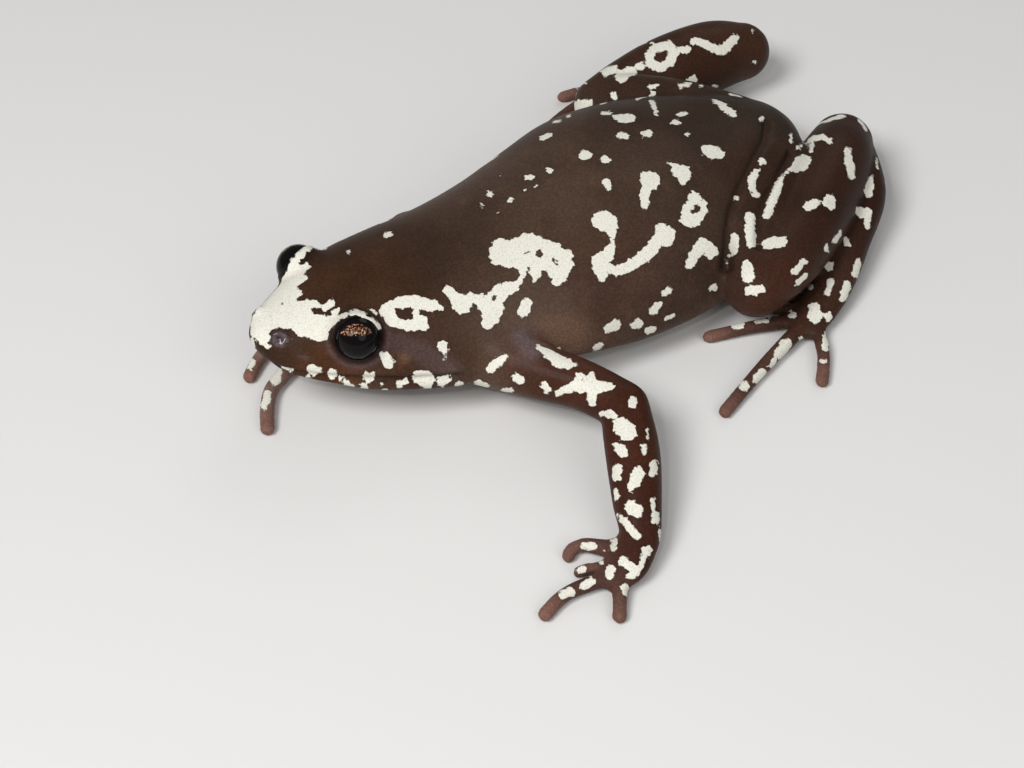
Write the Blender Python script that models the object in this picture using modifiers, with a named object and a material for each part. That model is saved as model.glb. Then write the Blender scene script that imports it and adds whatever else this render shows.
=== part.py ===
# Humming frog, crouched on its belly, hands and feet, at life size.
# The frog faces -Y with its left side at +X and +Z up. Lengths below are in
# millimetres, and places are measured from the point of the floor under the snout.
# The whole animal is modelled as one body and then parted with thin cuts.

import math

import bmesh
import bpy
from mathutils import Matrix, Vector
from mathutils.bvhtree import BVHTree

MM = 0.001
GAP = 0.30

# Body from the snout tip to the vent, one station a line: distance back from
# the snout, how far the bent back stands to the left, half width, height of the
# top, of the underside and of the widest line, and how square the section is.
BODY = {
    "snout tip": (0.12, 0.00, 0.55, 5.15, 4.35, 4.70, 2.0),
    "snout": (0.55, 0.00, 1.30, 5.50, 3.75, 4.30, 2.1),
    "nostrils": (1.20, 0.00, 1.95, 5.75, 3.15, 3.90, 2.2),
    "muzzle": (2.50, 0.00, 2.90, 6.05, 2.60, 3.40, 2.3),
    "eyes": (4.30, 0.00, 4.05, 6.45, 2.02, 2.80, 2.3),
    "cheeks": (6.30, 0.20, 4.90, 6.64, 1.78, 2.60, 2.2),
    "jaw corners": (8.60, 0.50, 5.55, 6.72, 1.68, 2.50, 2.1),
    "shoulders": (11.50, 0.75, 5.90, 6.75, 1.90, 2.65, 2.1),
    "chest": (14.50, 0.75, 6.45, 7.00, 1.15, 2.50, 2.1),
    "waist": (17.50, 0.45, 7.10, 7.30, 0.15, 2.35, 2.1),
    "belly": (20.50, 0.10, 7.55, 7.50, -0.12, 2.35, 2.1),
    "loins": (23.50, 0.00, 7.30, 7.35, -0.12, 2.45, 2.1),
    "sacrum": (26.50, 0.00, 6.25, 6.90, -0.05, 2.70, 2.1),
    "rump": (29.00, 0.00, 4.40, 6.55, 0.50, 3.20, 2.0),
    "tail end": (31.00, 0.00, 2.90, 5.80, 1.50, 3.70, 2.0),
    "vent": (31.90, 0.00, 1.40, 5.00, 2.80, 3.90, 2.0),
}
BODY_SIDES = 40
BODY_STEPS = 4
LIMB_SIDES = 16
LIMB_STEPS = 4
CAP_RINGS = 3

# Chains of stations along each limb piece: place, half width and half height.
LIMBS = {
    "upper_arm_left": [
        (4.4, 10.2, 2.9, 2.10, 2.00), (7.2, 11.3, 3.0, 1.45, 1.45), (9.6, 12.7, 3.1, 1.22, 1.22),
        (11.9, 13.6, 3.1, 1.20, 1.20)],
    "forearm_left": [
        (11.9, 13.6, 3.1, 1.20, 1.20), (14.1, 12.6, 2.4, 1.30, 1.25), (16.2, 11.45, 1.7, 1.16, 1.08),
        (17.7, 10.6, 1.15, 0.96, 0.80), (18.5, 9.4, 0.80, 1.06, 0.66), (18.75, 8.7, 0.60, 0.85, 0.50)],
    "finger_1_left": [
        (17.75, 9.9, 0.75, 0.85, 0.50), (16.95, 9.15, 0.52, 0.48, 0.38), (16.25, 8.55, 0.44, 0.34, 0.34),
        (16.1, 7.95, 0.36, 0.32, 0.32), (16.3, 7.6, 0.28, 0.34, 0.32)],
    "finger_2_left": [
        (18.1, 8.95, 0.52, 0.32, 0.32), (17.6, 8.2, 0.42, 0.28, 0.28), (17.38, 7.5, 0.28, 0.30, 0.30)],
    "finger_3_left": [
        (18.6, 8.6, 0.62, 0.42, 0.40), (18.3, 7.0, 0.46, 0.36, 0.36), (18.3, 5.9, 0.40, 0.34, 0.34),
        (18.65, 4.85, 0.28, 0.36, 0.32)],
    "finger_4_left": [
        (18.9, 8.7, 0.62, 0.42, 0.40), (19.9, 8.05, 0.42, 0.34, 0.34), (20.55, 7.6, 0.28, 0.36, 0.32)],
    "upper_arm_right": [
        (-3.7, 10.9, 3.5, 1.50, 1.50), (-4.9, 11.7, 2.70, 1.20, 1.20), (-5.8, 12.4, 1.85, 1.05, 1.05),
        (-6.5, 13.0, 1.12, 1.00, 1.00)],
    "forearm_right": [
        (-6.5, 13.0, 1.12, 1.00, 1.00), (-6.5, 11.2, 0.95, 0.95, 0.85), (-5.6, 8.8, 0.85, 0.88, 0.78),
        (-4.5, 6.7, 0.80, 0.72, 0.65), (-3.7, 5.2, 0.70, 0.92, 0.58), (-3.2, 4.4, 0.60, 0.80, 0.50)],
    "finger_1_right": [
        (-3.7, 5.6, 0.50, 0.34, 0.34), (-2.7, 6.1, 0.40, 0.30, 0.30), (-1.9, 6.5, 0.28, 0.32, 0.32)],
    "finger_2_right": [
        (-3.2, 4.9, 0.58, 0.38, 0.36), (-2.0, 4.7, 0.44, 0.34, 0.34), (-0.8, 4.4, 0.28, 0.36, 0.32)],
    "finger_3_right": [
        (-3.0, 4.1, 0.60, 0.44, 0.40), (-1.5, 2.2, 0.50, 0.40, 0.38), (-0.7, 0.95, 0.42, 0.38, 0.36),
        (0.45, 0.15, 0.38, 0.38, 0.34), (1.45, -0.35, 0.28, 0.38, 0.32)],
    "finger_4_right": [
        (-3.4, 4.2, 0.60, 0.40, 0.38), (-3.35, 2.0, 0.46, 0.34, 0.34), (-2.3, 0.55, 0.28, 0.36, 0.32)],
    "thigh_left": [
        (1.5, 29.7, 3.6, 2.20, 2.20), (3.6, 27.6, 3.6, 2.05, 2.05), (5.9, 25.3, 3.3, 1.85, 1.85),
        (8.1, 24.1, 3.0, 1.65, 1.65)],
    "shank_left": [
        (8.2, 24.0, 3.0, 1.65, 1.65), (7.4, 26.3, 3.15, 1.95, 1.70), (5.25, 29.7, 2.95, 2.10, 2.10),
        (2.7, 33.1, 2.8, 2.08, 2.08), (1.15, 34.9, 2.55, 1.72, 1.72)],
    "tarsus_left": [
        (1.2, 35.2, 2.42, 1.38, 1.38), (4.5, 33.9, 2.0, 1.15, 1.10), (6.8, 31.2, 1.45, 1.05, 0.95),
        (8.3, 29.2, 1.10, 1.05, 0.80), (9.4, 27.2, 0.75, 1.10, 0.60), (9.9, 26.1, 0.60, 0.95, 0.48)],
    "toe_1_left": [
        (8.5, 27.1, 0.55, 0.34, 0.34), (7.3, 26.6, 0.40, 0.30, 0.30), (6.4, 26.2, 0.28, 0.32, 0.32)],
    "toe_2_left": [
        (8.9, 26.4, 0.58, 0.38, 0.36), (7.6, 25.3, 0.42, 0.32, 0.32), (6.5, 24.6, 0.28, 0.34, 0.32)],
    "toe_3_left": [
        (9.4, 26.0, 0.60, 0.42, 0.38), (8.4, 23.5, 0.44, 0.34, 0.34), (7.75, 21.6, 0.28, 0.36, 0.32)],
    "toe_4_left": [
        (9.9, 25.9, 0.60, 0.44, 0.40), (10.9, 23.1, 0.48, 0.38, 0.36), (11.8, 20.9, 0.40, 0.34, 0.34),
        (12.55, 19.15, 0.28, 0.36, 0.32)],
    "toe_5_left": [
        (10.2, 26.5, 0.58, 0.42, 0.38), (12.0, 25.6, 0.42, 0.34, 0.34), (13.4, 24.45, 0.28, 0.36, 0.32)],
    "thigh_right": [
        (-1.5, 29.7, 3.6, 2.20, 2.20), (-4.3, 28.2, 3.6, 2.10, 2.10), (-7.0, 26.7, 3.2, 1.90, 1.90),
        (-8.5, 25.8, 2.9, 1.60, 1.60)],
    "shank_right": [
        (-8.5, 25.8, 2.9, 1.60, 1.60), (-8.8, 27.9, 2.9, 1.85, 1.85), (-9.0, 30.6, 2.9, 2.05, 2.05),
        (-9.0, 33.5, 2.8, 2.00, 2.00), (-8.8, 35.4, 2.5, 1.65, 1.65)],
    "tarsus_right": [
        (-8.8, 35.4, 2.5, 1.40, 1.40), (-10.4, 33.9, 1.7, 1.10, 1.10), (-11.6, 31.2, 1.25, 1.00, 1.00),
        (-11.9, 29.9, 1.00, 1.00, 0.78), (-12.0, 28.6, 0.72, 1.05, 0.60), (-11.9, 27.9, 0.60, 0.95, 0.48)],
    "toe_1_right": [
        (-11.2, 28.8, 0.55, 0.34, 0.34), (-10.3, 28.8, 0.40, 0.30, 0.30), (-9.5, 28.8, 0.28, 0.32, 0.32)],
    "toe_2_right": [
        (-11.3, 28.2, 0.58, 0.38, 0.36), (-10.2, 27.5, 0.42, 0.32, 0.32), (-9.1, 27.1, 0.28, 0.34, 0.32)],
    "toe_3_right": [
        (-11.5, 27.8, 0.60, 0.42, 0.38), (-10.5, 26.1, 0.44, 0.34, 0.34), (-9.4, 24.9, 0.28, 0.36, 0.32)],
    "toe_4_right": [
        (-11.9, 27.6, 0.60, 0.44, 0.40), (-11.6, 25.6, 0.48, 0.38, 0.36), (-11.0, 23.8, 0.40, 0.34, 0.34),
        (-10.2, 22.4, 0.28, 0.36, 0.32)],
    "toe_5_right": [
        (-12.3, 28.1, 0.58, 0.42, 0.38), (-12.9, 27.1, 0.42, 0.34, 0.34), (-13.2, 26.2, 0.28, 0.36, 0.32)],
}

# The eyes, mirrored left and right, with the lid's bulge and rim round each.
EYE = {"place": (3.02, 4.20, 5.38), "radius": 1.10}
LID = {
    "place": (2.72, 4.35, 5.13), "radius": 1.34, "rim": 0.22, "rim_ahead": 0.10, "faces": (0.85, -0.30, 0.25)}
NOSTRIL = {"place": (1.20, 0.95, 5.44), "radius": 0.17, "rim": (0.80, 1.12, 5.20), "rim_radius": 0.52}
MOUTH = {"radius": 0.17, "front": (0.62, 3.95), "corner": (8.20, 3.05), "points": 9}

# The surface of the whole animal before it is parted: grid, number of triangles,
# passes of smoothing where two forms meet and all over, and the merging distance.
SKIN_GRID = 0.16
SKIN_TRIANGLES = 7000
SOFTEN_TIMES = 6
SMOOTH_TIMES = 1
MERGE = 0.0001
# Where two forms meet: a place and how far round it the smoothing reaches.
SOFT_PLACES = [
    (5.6, 10.9, 3.2, 2.8), (11.9, 13.6, 3.0, 1.7), (-4.6, 11.4, 2.4, 2.0),
    (3.2, 28.6, 4.2, 3.2), (-3.2, 28.9, 4.2, 3.2), (18.2, 9.4, 0.8, 1.6), (9.6, 26.6, 0.7, 1.8),
    (-12.0, 28.3, 0.7, 1.6), (-3.4, 4.7, 0.7, 1.6),
]

# Thin round cuts across a limb: place, direction along it, half width, half height.
ROUND_CUTS = {
    "shoulder left": ((7.8, 11.7, 3.05), (0.87, 0.48, 0.03), 1.75, 1.75),
    "elbow left": ((11.95, 13.6, 3.1), (1.0, 0.02, -0.15), 1.8, 1.8),
    "wrist left": ((17.6, 10.75, 1.15), (0.66, -0.71, -0.28), 1.3, 1.3),
    "shoulder right": ((-5.55, 12.3, 2.1), (-0.85, -0.1, -0.5), 1.7, 2.1),
    "elbow right": ((-6.15, 12.2, 1.45), (0.51, 0.46, 0.64), 1.9, 1.9),
    "wrist right": ((-4.45, 6.6, 0.80), (0.45, -0.88, -0.05), 1.05, 1.05),
    "ankle left": ((8.0, 29.7, 1.2), (0.55, -0.82, -0.15), 1.35, 1.2),
    "ankle right": ((-11.8, 30.3, 1.05), (-0.2, -0.95, -0.2), 1.3, 1.1),
}

# Thin cuts along a fold: each station is a low place and a high place.
FOLD_CUTS = {
    "neck": [
        ((-7.4, 9.6, 2.35), (-7.4, 9.6, 8.0)), ((-5.2, 9.45, 2.2), (-5.2, 9.45, 8.0)),
        ((-3.4, 9.3, 1.3), (-3.4, 9.3, 8.0)), ((0.5, 9.2, 0.9), (0.5, 9.2, 8.0)),
        ((4.0, 9.0, 0.5), (4.0, 9.0, 8.0)), ((7.6, 8.7, 0.5), (7.6, 8.7, 8.0))],
    "groin left": [
        ((9.4, 20.9, 1.0), (8.8, 20.9, 7.5)), ((7.0, 23.1, 1.0), (6.3, 23.1, 7.5)),
        ((5.5, 24.7, -0.5), (5.2, 24.4, 7.5)), ((3.9, 26.5, -0.5), (3.6, 26.1, 7.5)),
        ((2.9, 28.0, -0.5), (2.6, 27.6, 7.5)), ((2.2, 29.4, -0.5), (1.9, 29.1, 7.5)),
        ((2.2, 30.4, -0.5), (1.7, 30.2, 7.5)), ((2.8, 31.2, -0.5), (1.9, 30.8, 7.5))],
    "knee fold left": [
        ((9.5, 22.0, 0.2), (9.5, 22.0, 6.5)), ((8.2, 24.05, 0.2), (8.1, 24.0, 6.5)),
        ((7.4, 25.7, 0.2), (6.4, 25.1, 6.5)), ((6.7, 27.1, 0.2), (5.2, 26.2, 6.5)),
        ((5.6, 28.6, 0.2), (3.9, 27.6, 6.5)), ((4.2, 30.2, 0.2), (2.6, 29.3, 6.5)),
        ((2.9, 31.3, 0.2), (1.8, 30.6, 6.5)), ((1.7, 32.0, 0.2), (1.2, 31.8, 6.5)),
        ((0.2, 32.8, 0.2), (0.1, 32.8, 6.5))],
    "calf left": [
        ((7.9, 27.5, 1.05), (9.7, 28.7, 4.5)), ((6.1, 30.2, 1.0), (7.95, 31.4, 4.5)),
        ((3.5, 33.7, 0.7), (5.4, 35.0, 4.5)), ((1.3, 35.25, 0.3), (1.3, 35.25, 4.5)),
        ((-0.5, 36.6, 0.3), (-0.5, 36.6, 4.5))],
    "groin right": [
        ((-9.6, 21.8, 1.0), (-9.0, 21.8, 7.5)), ((-6.6, 25.1, -0.5), (-6.3, 24.9, 7.5)),
        ((-4.9, 26.9, -0.5), (-4.5, 26.6, 7.5)), ((-3.2, 28.5, -0.5), (-2.9, 28.1, 7.5)),
        ((-2.4, 30.0, -0.5), (-2.1, 29.6, 7.5)), ((-2.3, 31.2, -0.5), (-2.1, 31.0, 7.5)),
        ((-2.5, 33.4, -0.5), (-2.5, 33.4, 7.5))],
    "knee fold right": [
        ((-9.6, 23.8, 0.2), (-9.6, 23.8, 6.5)), ((-8.5, 25.8, 0.2), (-8.5, 25.8, 6.5)),
        ((-7.5, 27.5, 0.2), (-7.5, 27.5, 6.5)), ((-6.5, 29.3, 0.2), (-6.5, 29.3, 6.5)),
        ((-5.3, 31.4, 0.2), (-5.3, 31.4, 6.5))],
    "calf right": [
        ((-10.1, 27.8, 1.0), (-12.1, 27.8, 4.5)), ((-10.2, 30.6, 0.95), (-12.2, 30.6, 4.5)),
        ((-8.9, 33.6, 0.5), (-11.3, 33.4, 4.5)), ((-8.5, 35.5, 0.3), (-8.5, 35.5, 4.6)),
        ((-7.5, 37.6, 0.3), (-7.5, 37.6, 4.6))],
}

# Each finger and toe is parted this far along its first stretch, by a cut this wide.
DIGIT_CUTS = {
    "finger_1_left": 0.92, "finger_2_left": 0.92, "finger_3_left": 0.38, "finger_4_left": 0.55,
    "finger_1_right": 0.90, "finger_2_right": 0.70, "finger_3_right": 0.62, "finger_4_right": 0.50,
    "toe_1_left": 0.70, "toe_2_left": 0.50, "toe_3_left": 0.40, "toe_4_left": 0.38, "toe_5_left": 0.50,
    "toe_1_right": 0.70, "toe_2_right": 0.80, "toe_3_right": 0.70, "toe_4_right": 0.80, "toe_5_right": 0.75,
}
DIGIT_CUT_RADIUS = 0.62
NARROW_CUTS = {"finger_2_left": 0.42}
SOCKET_GAP = 0.06

# How far along its chain a part surely holds the chain's own middle, and a place
# inside each part that has no chain of its own.
SEED_SHARES = {
    "upper_arm": 0.70, "forearm": 0.30, "thigh": 0.62, "shank": 0.55, "tarsus": 0.25, "digit": 0.80}
SEEDS = {
    "head": (0.0, 5.5, 4.2), "torso": (0.0, 20.0, 3.5),
    "hand_left": (18.2, 9.7, 0.85), "hand_right": (-3.8, 5.4, 0.65),
    "foot_left": (8.9, 28.1, 0.85), "foot_right": (-12.0, 29.0, 0.75),
}

# A nearly upright line tells which piece holds a seed; few walls can lie across it.
SEED_LINE = (0.03, 0.05, 1.0)
MOST_CROSSINGS = 50
FLOOR_BLOCK = 100

# Colour and roughness of each skin and of the eyes.
LOOKS = {
    "back skin": ((0.060, 0.040, 0.030), 0.35),
    "limb skin": ((0.070, 0.046, 0.036), 0.35),
    "digit skin": ((0.180, 0.110, 0.090), 0.40),
    "eye": ((0.006, 0.005, 0.005), 0.08),
}


def smooth_path(stations, steps):
    """Points on a smooth curve through the stations, of any number of values each."""
    path = []
    last = len(stations) - 1
    for i in range(last):
        p0, p1, p2, p3 = (stations[min(max(k, 0), last)] for k in (i - 1, i, i + 1, i + 2))
        for step in range(steps):
            t = step / steps
            path.append(tuple(
                0.5 * (2 * b + (c - a) * t + (2 * a - 5 * b + 4 * c - d) * t * t
                       + (3 * b - a - 3 * c + d) * t ** 3)
                for a, b, c, d in zip(p0, p1, p2, p3)))
    path.append(tuple(stations[last]))
    return path


def mesh_object(name, bm, collection):
    bmesh.ops.scale(bm, vec=(MM, MM, MM), verts=bm.verts)
    mesh = bpy.data.meshes.new(name)
    bm.to_mesh(mesh)
    bm.free()
    obj = bpy.data.objects.new(name, mesh)
    if collection.hide_render:
        obj.display_type = "WIRE"
    collection.objects.link(obj)
    return obj


def loft(name, rings, collection):
    """A closed skin over rings of points, its two ends closed flat."""
    bm = bmesh.new()
    loops = [[bm.verts.new(point) for point in ring] for ring in rings]
    for lower, upper in zip(loops, loops[1:]):
        for k in range(len(lower)):
            after = (k + 1) % len(lower)
            bm.faces.new((lower[k], lower[after], upper[after], upper[k]))
    bm.faces.new(loops[0])
    bm.faces.new(loops[-1])
    bmesh.ops.recalc_face_normals(bm, faces=bm.faces)
    bmesh.ops.triangulate(bm, faces=bm.faces)
    return mesh_object(name, bm, collection)


def power(value, exponent):
    return math.copysign(abs(value) ** exponent, value)


def body_ring(y, shift, half, top, under, widest, square):
    ring = []
    for k in range(BODY_SIDES):
        turn = 2 * math.pi * k / BODY_SIDES
        reach = top - widest if math.sin(turn) > 0 else widest - under
        ring.append((shift + half * power(math.cos(turn), 2 / square), y,
                     widest + reach * power(math.sin(turn), 2 / square)))
    return ring


def make_body(collection):
    stations = smooth_path(list(BODY.values()), BODY_STEPS)
    return loft("body", [body_ring(*station) for station in stations], collection)


def limb_ring(centre, along, half, high, sides):
    side = along.cross(Vector((0, 0, 1)))
    side = side.normalized() if side.length > 1e-4 else Vector((1, 0, 0))
    rise = side.cross(along).normalized()
    turns = [2 * math.pi * k / sides for k in range(sides)]
    return [centre + side * half * math.cos(turn) + rise * high * math.sin(turn) for turn in turns]


def make_limb(name, stations, collection, sides=LIMB_SIDES, steps=LIMB_STEPS):
    path = smooth_path(stations, steps)
    places = [Vector(point[:3]) for point in path]
    rings = []
    for k, (place, point) in enumerate(zip(places, path)):
        along = (places[min(k + 1, len(path) - 1)] - places[max(k - 1, 0)]).normalized()
        rings.append((place, along, point[3], point[4]))
    start, end = rings[0], rings[-1]
    for k in range(1, CAP_RINGS + 1):
        turn = 0.5 * math.pi * k / (CAP_RINGS + 0.35)
        for (place, along, half, high), way, where in ((start, -1, 0), (end, 1, len(rings))):
            ring = (place + along * way * half * math.sin(turn), along,
                    half * math.cos(turn), high * math.cos(turn))
            rings.insert(0 if way < 0 else len(rings), ring)
    return loft(name, [limb_ring(*ring, sides) for ring in rings], collection)


def use_modifier(obj, kind, **settings):
    """Runs one modifier on an object and keeps the result as its mesh."""
    modifier = obj.modifiers.new(kind, kind)
    for name, value in settings.items():
        setattr(modifier, name, value)
    shape = bpy.data.meshes.new_from_object(obj.evaluated_get(bpy.context.evaluated_depsgraph_get()))
    obj.modifiers.remove(modifier)
    old = obj.data
    obj.data = shape
    bpy.data.meshes.remove(old)


def clear(collection):
    for obj in list(collection.objects):
        bpy.data.objects.remove(obj)


def new_collection(name, hidden=False):
    collection = bpy.data.collections.new(name)
    collection.hide_render = hidden
    bpy.context.scene.collection.children.link(collection)
    return collection


def ball(name, place, radius, collection, segments=20, rings=12):
    bm = bmesh.new()
    bmesh.ops.create_uvsphere(bm, u_segments=segments, v_segments=rings, radius=radius)
    bmesh.ops.translate(bm, vec=place, verts=bm.verts)
    return mesh_object(name, bm, collection)


def disc(name, place, along, wide, high, thick, collection):
    """A thin round plate that lies square across a direction."""
    bm = bmesh.new()
    bmesh.ops.create_cone(bm, cap_ends=True, segments=24, radius1=1, radius2=1, depth=thick)
    along = Vector(along).normalized()
    side = along.cross(Vector((0, 0, 1))).normalized()
    rise = side.cross(along).normalized()
    turn = Matrix((side * wide, rise * high, along)).transposed().to_4x4()
    bmesh.ops.transform(bm, matrix=Matrix.Translation(place) @ turn, verts=bm.verts)
    bmesh.ops.recalc_face_normals(bm, faces=bm.faces)
    return mesh_object(name, bm, collection)


def curtain(name, stations, thick, collection):
    """A thin standing sheet that follows a fold."""
    bm = bmesh.new()
    path = smooth_path([low + high for low, high in stations], 2)
    lows = [bm.verts.new(point[:3]) for point in path]
    highs = [bm.verts.new(point[3:]) for point in path]
    for k in range(len(path) - 1):
        bm.faces.new((lows[k], lows[k + 1], highs[k + 1], highs[k]))
    bm.normal_update()
    for vert in bm.verts:
        vert.co -= vert.normal * thick / 2
    bmesh.ops.solidify(bm, geom=bm.faces[:], thickness=-thick)
    bmesh.ops.recalc_face_normals(bm, faces=bm.faces)
    bmesh.ops.triangulate(bm, faces=bm.faces)
    return mesh_object(name, bm, collection)


def tube(name, places, radius, collection):
    return make_limb(name, [tuple(place) + (radius, radius) for place in places], collection, 8, 2)


def join_pieces(body, collection):
    """Joins a collection's pieces to the body and removes them."""
    use_modifier(body, "BOOLEAN", operation="UNION", operand_type="COLLECTION",
                 collection=collection, solver="EXACT", use_self=True)
    clear(collection)


def triangle_share(obj):
    obj.data.calc_loop_triangles()
    return SKIN_TRIANGLES / len(obj.data.loop_triangles)


def soften(obj):
    """Smooths the surface where two forms meet, and all of it lightly."""
    bm = bmesh.new()
    bm.from_mesh(obj.data)
    near = [vert for vert in bm.verts
            if any((vert.co / MM - Vector(place[:3])).length < place[3] for place in SOFT_PLACES)]
    for verts, times in ((near, SOFTEN_TIMES), (bm.verts[:], SMOOTH_TIMES)):
        for _ in range(times):
            bmesh.ops.smooth_vert(
                bm, verts=verts, factor=0.5, use_axis_x=True, use_axis_y=True, use_axis_z=True)
    bm.to_mesh(obj.data)
    bm.free()


def side_of(place, side):
    return Vector((side * place[0], place[1], place[2]))


def add_face_forms(body, collection):
    """The bulge of each lid, its rim and the rim of each nostril."""
    for side in (-1, 1):
        eye = side_of(EYE["place"], side)
        faces = side_of(LID["faces"], side).normalized()
        ball("lid", side_of(LID["place"], side), LID["radius"], collection)
        bm = bmesh.new()
        bmesh.ops.create_uvsphere(bm, u_segments=20, v_segments=12, radius=EYE["radius"] + LID["rim"])
        back = [vert for vert in bm.verts if vert.co.z > LID["rim_ahead"]]
        for vert in back:
            vert.co.z = LID["rim_ahead"]
        bmesh.ops.dissolve_limit(bm, angle_limit=0.01, verts=bm.verts, edges=bm.edges)
        turn = Vector((0, 0, 1)).rotation_difference(faces).to_matrix()
        bmesh.ops.rotate(bm, matrix=turn, verts=bm.verts)
        bmesh.ops.translate(bm, vec=eye, verts=bm.verts)
        mesh_object("rim", bm, collection)
        ball("nostril rim", side_of(NOSTRIL["rim"], side), NOSTRIL["rim_radius"], collection, 16, 10)
    join_pieces(body, collection)


def body_at(y):
    """The body's section values at a distance back from the snout."""
    stations = list(BODY.values())
    for ahead, behind in zip(stations, stations[1:]):
        if y <= behind[0]:
            t = (y - ahead[0]) / (behind[0] - ahead[0])
            return [a + (b - a) * t for a, b in zip(ahead, behind)]
    return stations[-1]


def body_side(y, z, side):
    """The place on the body's side at a distance back and a height."""
    _, shift, half, top, under, widest, square = body_at(y)
    reach = (top - widest) if z > widest else (widest - under)
    share = min(abs(z - widest) / reach, 1.0)
    return Vector((shift + side * half * (1 - share ** square) ** (1 / square), y, z))


def mouth_line():
    """The line of the lips, from one jaw corner round the snout to the other."""
    front, corner = MOUTH["front"], MOUTH["corner"]
    half = []
    for k in range(MOUTH["points"]):
        t = k / (MOUTH["points"] - 1)
        y = front[0] + (corner[0] - front[0]) * t ** 1.4
        half.append((y, front[1] + (corner[1] - front[1]) * t ** 0.8))
    left = [body_side(y, z, 1) for y, z in half]
    right = [body_side(y, z, -1) for y, z in half]
    return right[::-1] + left


def add_cutters(collection):
    for name, (place, along, wide, high) in ROUND_CUTS.items():
        disc("cut " + name, place, along, wide, high, GAP, collection)
    for name, stations in FOLD_CUTS.items():
        curtain("fold " + name, stations, GAP, collection)
    for name, stations in LIMBS.items():
        if name in DIGIT_CUTS:
            first, second = Vector(stations[0][:3]), Vector(stations[1][:3])
            place = first.lerp(second, DIGIT_CUTS[name])
            radius = NARROW_CUTS.get(name, DIGIT_CUT_RADIUS)
            disc("cut " + name, place, second - first, radius, radius, GAP, collection)
    for side in (-1, 1):
        ball("socket", side_of(EYE["place"], side), EYE["radius"] + SOCKET_GAP, collection, 16, 10)
        ball("nostril", side_of(NOSTRIL["place"], side), NOSTRIL["radius"], collection, 12, 8)
    tube("mouth", mouth_line(), MOUTH["radius"], collection)
    bm = bmesh.new()
    bmesh.ops.create_cube(bm, size=FLOOR_BLOCK)
    bmesh.ops.translate(bm, vec=(0, 0, -FLOOR_BLOCK / 2), verts=bm.verts)
    mesh_object("floor", bm, collection)


def parted(body, collection):
    """Cuts the body into its separate closed pieces."""
    use_modifier(body, "BOOLEAN", operation="DIFFERENCE", operand_type="COLLECTION",
                 collection=collection, solver="EXACT")
    bm = bmesh.new()
    bm.from_mesh(body.data)
    bmesh.ops.triangulate(bm, faces=bm.faces)
    bmesh.ops.remove_doubles(bm, verts=bm.verts, dist=MERGE * MM)
    bmesh.ops.dissolve_degenerate(bm, edges=bm.edges, dist=MERGE * MM)
    left = set(bm.verts)
    pieces = []
    while left:
        stack = [left.pop()]
        piece = set(stack)
        while stack:
            for edge in stack.pop().link_edges:
                for vert in edge.verts:
                    if vert not in piece:
                        piece.add(vert)
                        stack.append(vert)
        left -= piece
        pieces.append(piece)
    return bm, sorted(pieces, key=len, reverse=True)


def seed_places():
    """A place inside each part by which its piece is known."""
    seeds = {name: Vector(place) for name, place in SEEDS.items()}
    for name, stations in LIMBS.items():
        path = smooth_path(stations, LIMB_STEPS)
        share = SEED_SHARES.get(name.rsplit("_", 1)[0], SEED_SHARES["digit"])
        seeds[name] = Vector(path[round(share * (len(path) - 1))][:3])
    return seeds


def inside(tree, place):
    """Counts the walls that a line upwards crosses, to tell if a place is in a piece."""
    upwards = Vector(SEED_LINE).normalized()
    crossings = 0
    hit = tree.ray_cast(place, upwards)[0]
    while hit is not None and crossings < MOST_CROSSINGS:
        crossings += 1
        hit = tree.ray_cast(hit + upwards * MERGE * MM, upwards)[0]
    return crossings % 2 == 1


def name_pieces(bm, pieces, collection):
    """Makes a node of each piece that holds a seed and drops the scraps."""
    seeds = seed_places()
    order = {vert: k for k, vert in enumerate(bm.verts)}
    for piece in pieces:
        verts = sorted(piece, key=order.get)
        faces = [face for face in bm.faces if face.verts[0] in piece]
        number = {vert: k for k, vert in enumerate(verts)}
        shape = [[number[vert] for vert in face.verts] for face in faces]
        tree = BVHTree.FromPolygons([vert.co for vert in verts], shape)
        held = [name for name, place in seeds.items() if inside(tree, place * MM)]
        if not held:
            continue
        mesh = bpy.data.meshes.new(held[0])
        mesh.from_pydata([vert.co for vert in verts], [], shape)
        node = bpy.data.objects.new(held[0], mesh)
        collection.objects.link(node)
        del seeds[held[0]]
    bm.free()


def look_of(node):
    if node in ("head", "torso"):
        return "back skin"
    if node.startswith("eye"):
        return "eye"
    return "digit skin" if node.startswith(("finger", "toe")) else "limb skin"


def material(name, colour, roughness):
    made = bpy.data.materials.new(name)
    made.use_nodes = True
    shader = made.node_tree.nodes["Principled BSDF"]
    shader.inputs["Base Color"].default_value = (*colour, 1.0)
    shader.inputs["Roughness"].default_value = roughness
    return made


def set_down(objects):
    """Moves the animal so that the origin is under the middle of it, on the floor."""
    corners = [vert.co for obj in objects for vert in obj.data.vertices]
    lows = [min(corner[axis] for corner in corners) for axis in range(3)]
    highs = [max(corner[axis] for corner in corners) for axis in range(3)]
    shift = Vector(((lows[0] + highs[0]) / 2, (lows[1] + highs[1]) / 2, 0))
    for obj in objects:
        obj.data.transform(Matrix.Translation(-shift))
    return tuple(shift / MM)


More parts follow.
